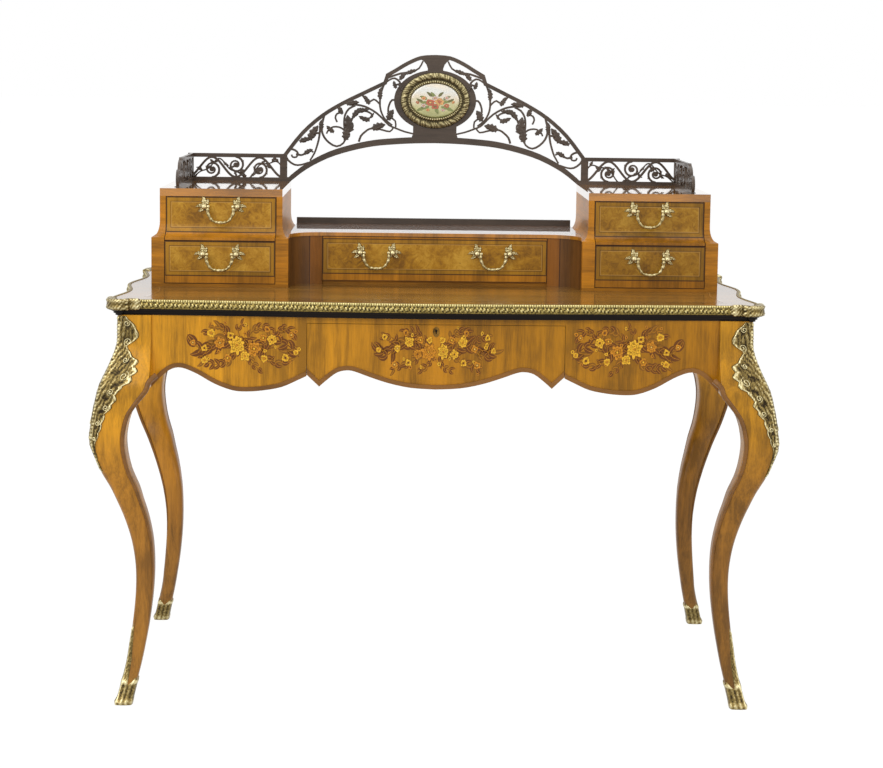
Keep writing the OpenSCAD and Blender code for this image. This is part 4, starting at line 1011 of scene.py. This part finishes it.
def button(heap, x, y, z):
    """A round boss on a face at Y = y, raised towards -Y."""
    turn = circle(20)
    rows, relief = [], []
    for a in np.linspace(0, pi / 2, 10):
        r = 6 * cos(a)
        rows.append(places(x + r * np.cos(turn), y - 5 * sin(a), z + r * np.sin(turn)))
        relief.append([0.8 * (0.35 + 0.65 * sin(a))] * 20)
    heap.grid(rows, relief, closed=True)


def spindle(heap, x, y, z, lengths, radii, relief):
    """A short turned bar along X. lengths and radii run from its end to its middle, in mm."""
    end, neck = lengths
    path = places(x + np.array((-end, -neck, 0, neck, end)), y, z)
    tube(heap, path, np.array(radii + radii[1::-1]) * MM, 14, relief)


POST_HALF, BAIL_HALF, POST_OUT = 32, 24, 12
BAIL_TOP, BAIL_FOOT = 3.2, 3.4  # radii of a bail at its pin and its lowest point
# heading, length, width, bend and rise of the leaves round a post
POST_LEAVES = [(100, 20, 9, -45, 3.4), (66, 19, 7, 45, 2.8), (20, 18, 7, -50, 2.8), (350, 13, 6, 50, 2.6),
               (140, 16, 7, -50, 2.8), (300, 16, 8, 40, 2.8), (240, 14, 7, -35, 2.6), (195, 10, 6, 30, 2.4)]
# place and width of the rings on a bail, as shares of its half length, and their height in mm
BAIL_RINGS = [(0.8, 0.08, 1.3), (0.6, 0.06, 1.1), (0.42, 0.05, 0.8), (0, 0.1, 1.0), (0.2, 0.04, 0.8)]


def handle_post(heap, x, face, z, side):
    """A leaf cluster that carries the eye of the bail. side is -1 on the left and 1 on the right."""
    for heading, length, width, bend, rise in POST_LEAVES:
        cast_leaf(heap, x * side, z, face, heading, length, width, bend, rise, side)
    button(heap, x, face - 1.5, z)
    arm = places(x, face - np.array((3, 6, 9, POST_OUT)), z + 0.1)
    tube(heap, arm, np.array((4.3, 3.6, 3.4, 3.8)) * MM, 14)
    spindle(heap, x, face - POST_OUT, z, (4.4, 3.4), [2.6, 4.4, 4.9], 0.85)


def bail_shape(heap, x, y, z, drop):
    """A hanging U with rings and knuckles, and leaves at its ends."""
    half = [(BAIL_HALF, -0.6), (BAIL_HALF + 0.8, -5), (BAIL_HALF + 0.4, -12), (BAIL_HALF - 3, -0.66 * drop),
            (BAIL_HALF - 9, -0.89 * drop), (7, -0.98 * drop), (0, -drop)]
    path = smooth_rows(half + [(-u, v) for u, v in half[-2::-1]], 8)
    t = abs(np.linspace(-1, 1, len(path)))
    radii = 2.3 + sum(rise * bell(t - at, width) for at, width, rise in BAIL_RINGS)
    relief = 0.35 + 0.35 * np.repeat((radii - 1.4) / 1.6, 14).clip(0, 1)
    tube(heap, places(x + path[:, 0], y, z + path[:, 1]), radii * MM, 14, relief)
    for s in (-1, 1):
        spindle(heap, x + s * BAIL_HALF, y, z, (3, 2.4), [1.6, 3.0, 3.3], 0.8)
        tube(heap, places(x + s * np.array((BAIL_HALF, POST_HALF - 3)), y, z), 1.3 * MM, 10, 0.5)
        leaf_x = s * x + BAIL_HALF + 0.5
        for at, heading in ((-3, 285), (-8, 275), (-13, 250)):
            cast_leaf(heap, leaf_x, z + at, y - 0.8, heading, 9, 6, -25, 1.8, s)


def handles(posts, bails):
    """Posts as leaf clusters riding on their drawer, and each bail on its own body."""
    heap = Heap()
    for bail in bails:
        low, high = box_mm(bail)
        x, y, z = (low[0] + high[0]) / 2, (low[1] + high[1]) / 2, high[2] - BAIL_TOP
        for side in (-1, 1):
            handle_post(heap, x + side * POST_HALF, y + POST_OUT, z, side)
        ring = Heap()
        bail_shape(ring, x, y, z, z - low[2] - BAIL_FOOT)
        casting(ring, bail + "_casting", mount_gilt, bail)
    casting(heap, posts + "_casting", mount_gilt, posts)


for drawer in ("left_upper", "left_lower", "right_upper", "right_lower"):
    handles(drawer + "_posts", [drawer + "_bail"])
handles("centre_posts", ["centre_left_bail", "centre_right_bail"])

# Oval frame and painted plaque. The first of each pair of half sizes is along X.

frame_low, frame_high = box_mm("plaque_frame")
OVAL_Z = (frame_low[2] + frame_high[2]) / 2
OVAL_OUT = (frame_high - frame_low)[[0, 2]] / 2 - 0.4
OVAL_IN = np.array((49.8, 34.8))
PLAQUE_RIM = 258.2  # Y of the plaque's rim
PLAQUE_DOME = 1.9
OVAL_ROWS = [  # share of the way in, height, height of the leaves and of the beads, tone
    (-0.02, 0.2, 0, 0, 0.1), (0.0, 1.6, 0.6, 0, 0.3), (0.08, 3.6, 1.4, 0, 0.6), (0.2, 4.8, 2.0, 0, 0.5),
    (0.32, 5.4, 2.4, 0, 0.5), (0.44, 5.0, 2.2, 0, 0.4), (0.54, 4.2, 1.2, 0, 0.2), (0.62, 3.2, 0.3, 0, 0.1),
    (0.68, 3.6, 0, 0.4, 0.2), (0.76, 5.2, 0, 2.2, 0.5), (0.84, 5.6, 0, 2.6, 0.6), (0.91, 4.8, 0, 1.8, 0.4),
    (0.96, 3.6, 0, 0, 0.3), (1.0, 2.4, 0, 0, 0.2),
]


def oval_frame():
    """Leaves round the outside, a hollow, and a beaded rim against the plaque."""
    heap = Heap()
    turn = circle(648)
    tip = np.abs(np.sin(turn * 16)) ** 0.6
    bead = ripple(turn * 72) ** 0.6
    rows, relief = [], []
    for s, lift, leaf_height, bead_height, tone in OVAL_ROWS:
        share = (1 - s + 0.05 * (1 - s) * (tip - 0.75)).clip(0, 1)
        a, b = (i + (o - i) * share for i, o in zip(OVAL_IN, OVAL_OUT))
        leaf = 0.35 * np.abs(np.cos(turn * 16)) ** 0.6
        leaf += 0.65 * ripple(turn * 54 + 9 * s + 2.2 * np.sin(turn * 16))
        out = lift + leaf_height * (leaf - 0.3) + bead_height * (bead - 0.4)
        rows.append(places(a * np.cos(turn), frame_high[1] - out.clip(0, 8.8), OVAL_Z + b * np.sin(turn)))
        tone += 0.6 * (leaf - 0.4) * (leaf_height > 0.5) + 0.6 * (bead - 0.3) * (bead_height > 0.5)
        relief.append((tone - 0.12).clip(0, 1))
    heap.grid(rows, relief, closed=True)
    casting(heap, "frame_casting", frame_gilt, "plaque_frame")


oval_frame()


def plaque_face(x, z):
    return PLAQUE_RIM - PLAQUE_DOME * (1 - (x / 50.8) ** 2 - ((z - OVAL_Z) / 35.4) ** 2)


def plaque_ground():
    """Glazed porcelain, green below and pale above."""
    s = Shader("plaque_ground")
    cloud = s.noise(60, 4, 0.55, 0.6, s.stretched((0.6, 1, 1)))
    cloud = s.math("MULTIPLY", s.math("SUBTRACT", cloud, 0.5), 0.5)
    level = s.math("MULTIPLY_ADD", s.math("SUBTRACT", s.along("z"), (OVAL_Z - 36) * MM), 13.9, cloud)
    colours = [(0, (150, 152, 96)), (0.2, (186, 184, 124)), (0.38, (208, 200, 158)), (0.55, (226, 214, 190)),
               (0.78, (222, 224, 218)), (1, (236, 226, 206))]
    shade = s.ramp(level, [(at, srgb(*colour)) for at, colour in colours])
    return s.finish(shade, 0.22, coat=1.0, coat_rough=0.06)


# place, heading, length, width, bend and tone
PLAQUE_LEAVES = [
    (-6, -4, 150, 20, 6, 40, OLIVE), (6, -2, 30, 20, 6, -40, OLIVE), (0, 6, 100, 18, 5, 30, OLIVE),
    (-10, -8, 210, 16, 5, -40, OLIVE), (10, -8, 330, 16, 5, 40, OLIVE), (2, -10, 270, 14, 5, 30, OLIVE),
    (-14, 6, 130, 14, 5, 40, OLIVE), (14, 6, 50, 14, 5, -40, OLIVE), (-18, -12, 190, 14, 5, 30, OLIVE),
    (18, -12, 350, 14, 5, -30, OLIVE), (-20, 2, 165, 13, 4, -30, BROWN), (20, 2, 15, 13, 4, 30, BROWN),
    (-6, 12, 115, 13, 4, 30, BROWN), (6, 12, 65, 13, 4, -30, BROWN),
]
PLAQUE_FLOWERS = [
    (-8, 0, 8, 9, ORANGE, YELLOW), (7, 2, 8.5, 10, YELLOW, ORANGE), (0, -8, 6.5, 8, ORANGE, BROWN),
    (0, 9, 5.5, 7, CREAM, YELLOW), (-19, -6, 4.5, 6, CREAM, YELLOW), (19, -6, 4.5, 6, ORANGE, YELLOW),
    (-19, 9, 4, 6, YELLOW, ORANGE), (19, 10, 4, 6, CREAM, YELLOW), (-29, 0, 3, 5, ORANGE, YELLOW),
    (30, 1, 3, 5, YELLOW, ORANGE), (-12, -15, 3.5, 6, YELLOW, ORANGE), (13, -15, 3.5, 6, CREAM, YELLOW),
]


def painted_plaque():
    """A domed oval with a bunch of flowers that belongs to no known picture."""
    heap = Heap()
    turn = circle(96)
    rows = []
    for share in (1.0, 0.98, 0.9, 0.78, 0.64, 0.5, 0.36, 0.22, 0.1, 0.02):
        y = PLAQUE_RIM - PLAQUE_DOME * (1 - share ** 2) + (2 if share == 1.0 else 0)
        rows.append(places(50.6 * share * np.cos(turn), y, OVAL_Z + 35.2 * share * np.sin(turn)))
    heap.grid(rows, closed=True)
    heap.cap(rows[-1])
    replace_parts(heap.make("plaque_enamel", plaque_ground(), "table", "porcelain"), "plaque")

    colours = [(112, 110, 60), (140, 152, 84), (206, 104, 78), (232, 178, 112), (226, 206, 196)]
    s = Spray((0, OVAL_Z - 4), plaque_face, 1, 1.25)
    for leaf in PLAQUE_LEAVES:
        s.leaf(*leaf, BROWN)
    for flower in PLAQUE_FLOWERS:
        s.flower(*flower)
    s.make("plaque_flowers", inlay_material("plaque_paint", colours, 0.22, 1.0), "table", "porcelain")


painted_plaque()

# Gallery: carved leaves over the fretwork, edges eased

ARCH_FACE, FRET_FACE, VINE_Y = 262.3, 263, 264.6
ARCH_LEAVES = [  # X, height over the top, length, width and direction
    (176, 309, 34, 15, 75), (181, 288, 28, 14, 100), (161, 331, 26, 9, 130), (149, 335, 24, 8, 170),
    (146, 320, 24, 8, 20), (116, 302, 28, 13, 160), (250, 288, 34, 13, 120), (267, 273, 26, 9, 165),
    (91, 327, 24, 12, 115), (66, 408, 22, 8, 130), (49, 416, 24, 7, 160), (140, 358, 20, 8, 60),
    (195, 336, 18, 8, 60), (261, 249, 20, 8, 150), (216, 297, 20, 8, 40), (83, 390, 16, 7, 70),
    (170, 350, 26, 9, 170), (233, 306, 22, 9, 95), (112, 372, 24, 9, 95), (70, 386, 18, 8, 60),
]


def gallery_carving():
    """Leaves on the arch, and a vine with leaves along each straight rear gallery."""
    heap = Heap()
    for side in (-1, 1):
        for x, z, length, width, lean in ARCH_LEAVES:
            a = radians(lean)
            x0, z0 = x - length / 2 * cos(a), TOP_Z + z - length / 2 * sin(a)
            cast_leaf(heap, x0, z0, ARCH_FACE, lean - 15, length * 1.05, width * 1.1, 30, 2.2, side, 0.22)
    low, high = box_mm("rear_frets")
    arch_end = box_mm("gallery_arch")[1][0]
    chance = random.Random(5)
    for side in (-1, 1):
        x = np.linspace(arch_end, high[0] - 4, 70)
        sway = 0.5 + 0.26 * np.sin((x - arch_end) / 17) + 0.07 * np.sin((x - arch_end) / 6.5)
        z = low[2] + (high[2] - low[2]) * sway
        tube(heap, places(side * x, VINE_Y, z), 1.5 * MM, 8)
        for k in range(4, 66, 4):
            way = 1 if k % 8 else -1
            lean = way * chance.uniform(40, 80) + (180 if chance.random() < 0.4 else 0)
            cast_leaf(heap, x[k], z[k], FRET_FACE, lean, chance.uniform(11, 15), chance.uniform(5, 6.5),
                      -way * chance.uniform(20, 70), 1.8, side, teeth=3)
    heap.make("gallery_leaves", dark_walnut, "table", "dark_walnut")
    for name in ("gallery_arch", "rear_frets", "side_frets"):
        eased = nodes[name].modifiers.new("eased", "BEVEL")
        eased.width = 0.9 * MM
        eased.segments = 2
        eased.limit_method = "ANGLE"
        eased.angle_limit = radians(70)


gallery_carving()

# Studio

WORLD_LIGHT = 0.48
FLOOR_GLOW, FLOOR_SHARE = 1.065, 0.9  # what the lens sees of the floor is white but for the shadow
FLOOR_HALF = 60
LAMPS = [("key", (-2.6, -3.4, 3.4), 4.2, 132), ("fill", (3.2, -3.2, 2.4), 4.2, 60),
         ("over", (0, 0.4, 4.2), 4.8, 74)]  # name, place, size and power
CAMERA_PLACE = (-0.0567, -3.888, 1.181)
PITCH, YAW, ROLL = -6.09, -1.03, 0.74


def surround():
    """White where the lens and the polished surfaces see it, and soft light."""
    world = bpy.data.worlds.new("studio")
    bpy.context.scene.world = world
    world.use_nodes = True
    g = Graph(world.node_tree)
    g.tree.nodes.clear()
    lit, white = (g.node("Background", {"Color": (1, 1, 1, 1), "Strength": k}).outputs[0]
                  for k in (WORLD_LIGHT, 1.0))
    g.node("OutputWorld", {0: g.mixed(g.seen(), lit, white)})


def floor():
    mesh = bpy.data.meshes.new("floor")
    mesh.from_pydata([(x * FLOOR_HALF, y * FLOOR_HALF, 0) for x, y in CORNERS], [], [(0, 1, 3, 2)])
    made = new_object("floor", mesh)
    made.location.z = -0.0005
    s = Shader("floor_paper")
    s.finish(s.ramp(s.noise(3, 2), [(0.3, 0.86), (0.7, 0.88)]), 0.9)
    glow = s.node("Emission", {"Strength": FLOOR_GLOW}).outputs[0]
    shown = s.mixed(s.math("MULTIPLY", s.seen(), FLOOR_SHARE), s.surface.outputs[0], glow)
    s.put(s.tree.nodes["Material Output"].inputs[0], shown)
    mesh.materials.append(s.material)


def lamps():
    for name, where, size, power in LAMPS:
        lamp = bpy.data.lights.new(name, "AREA")
        lamp.shape = "DISK"
        lamp.size = size
        lamp.energy = power
        held = new_object(name, lamp)
        held.location = where
        held.rotation_mode = "QUATERNION"
        held.rotation_quaternion = (Vector((0, 0, 0.65)) - Vector(where)).to_track_quat("-Z", "Y")


def camera():
    """The photo's viewpoint: a long lens, nearly square on, a little above the top."""
    data = bpy.data.cameras.new("photo")
    data.sensor_width = 36
    data.lens = 81.5
    data.shift_y = -0.12
    data.clip_start, data.clip_end = 0.1, 100
    held = new_object("photo", data)
    held.matrix_world = Matrix.Translation(CAMERA_PLACE)
    for angle, axis in ((YAW, "Z"), (90 + PITCH, "X"), (ROLL, "Z")):
        held.matrix_world @= Matrix.Rotation(radians(angle), 4, axis)
    bpy.context.scene.camera = held


surround()
floor()
lamps()
camera()
bpy.context.scene.view_settings.view_transform = "Standard"
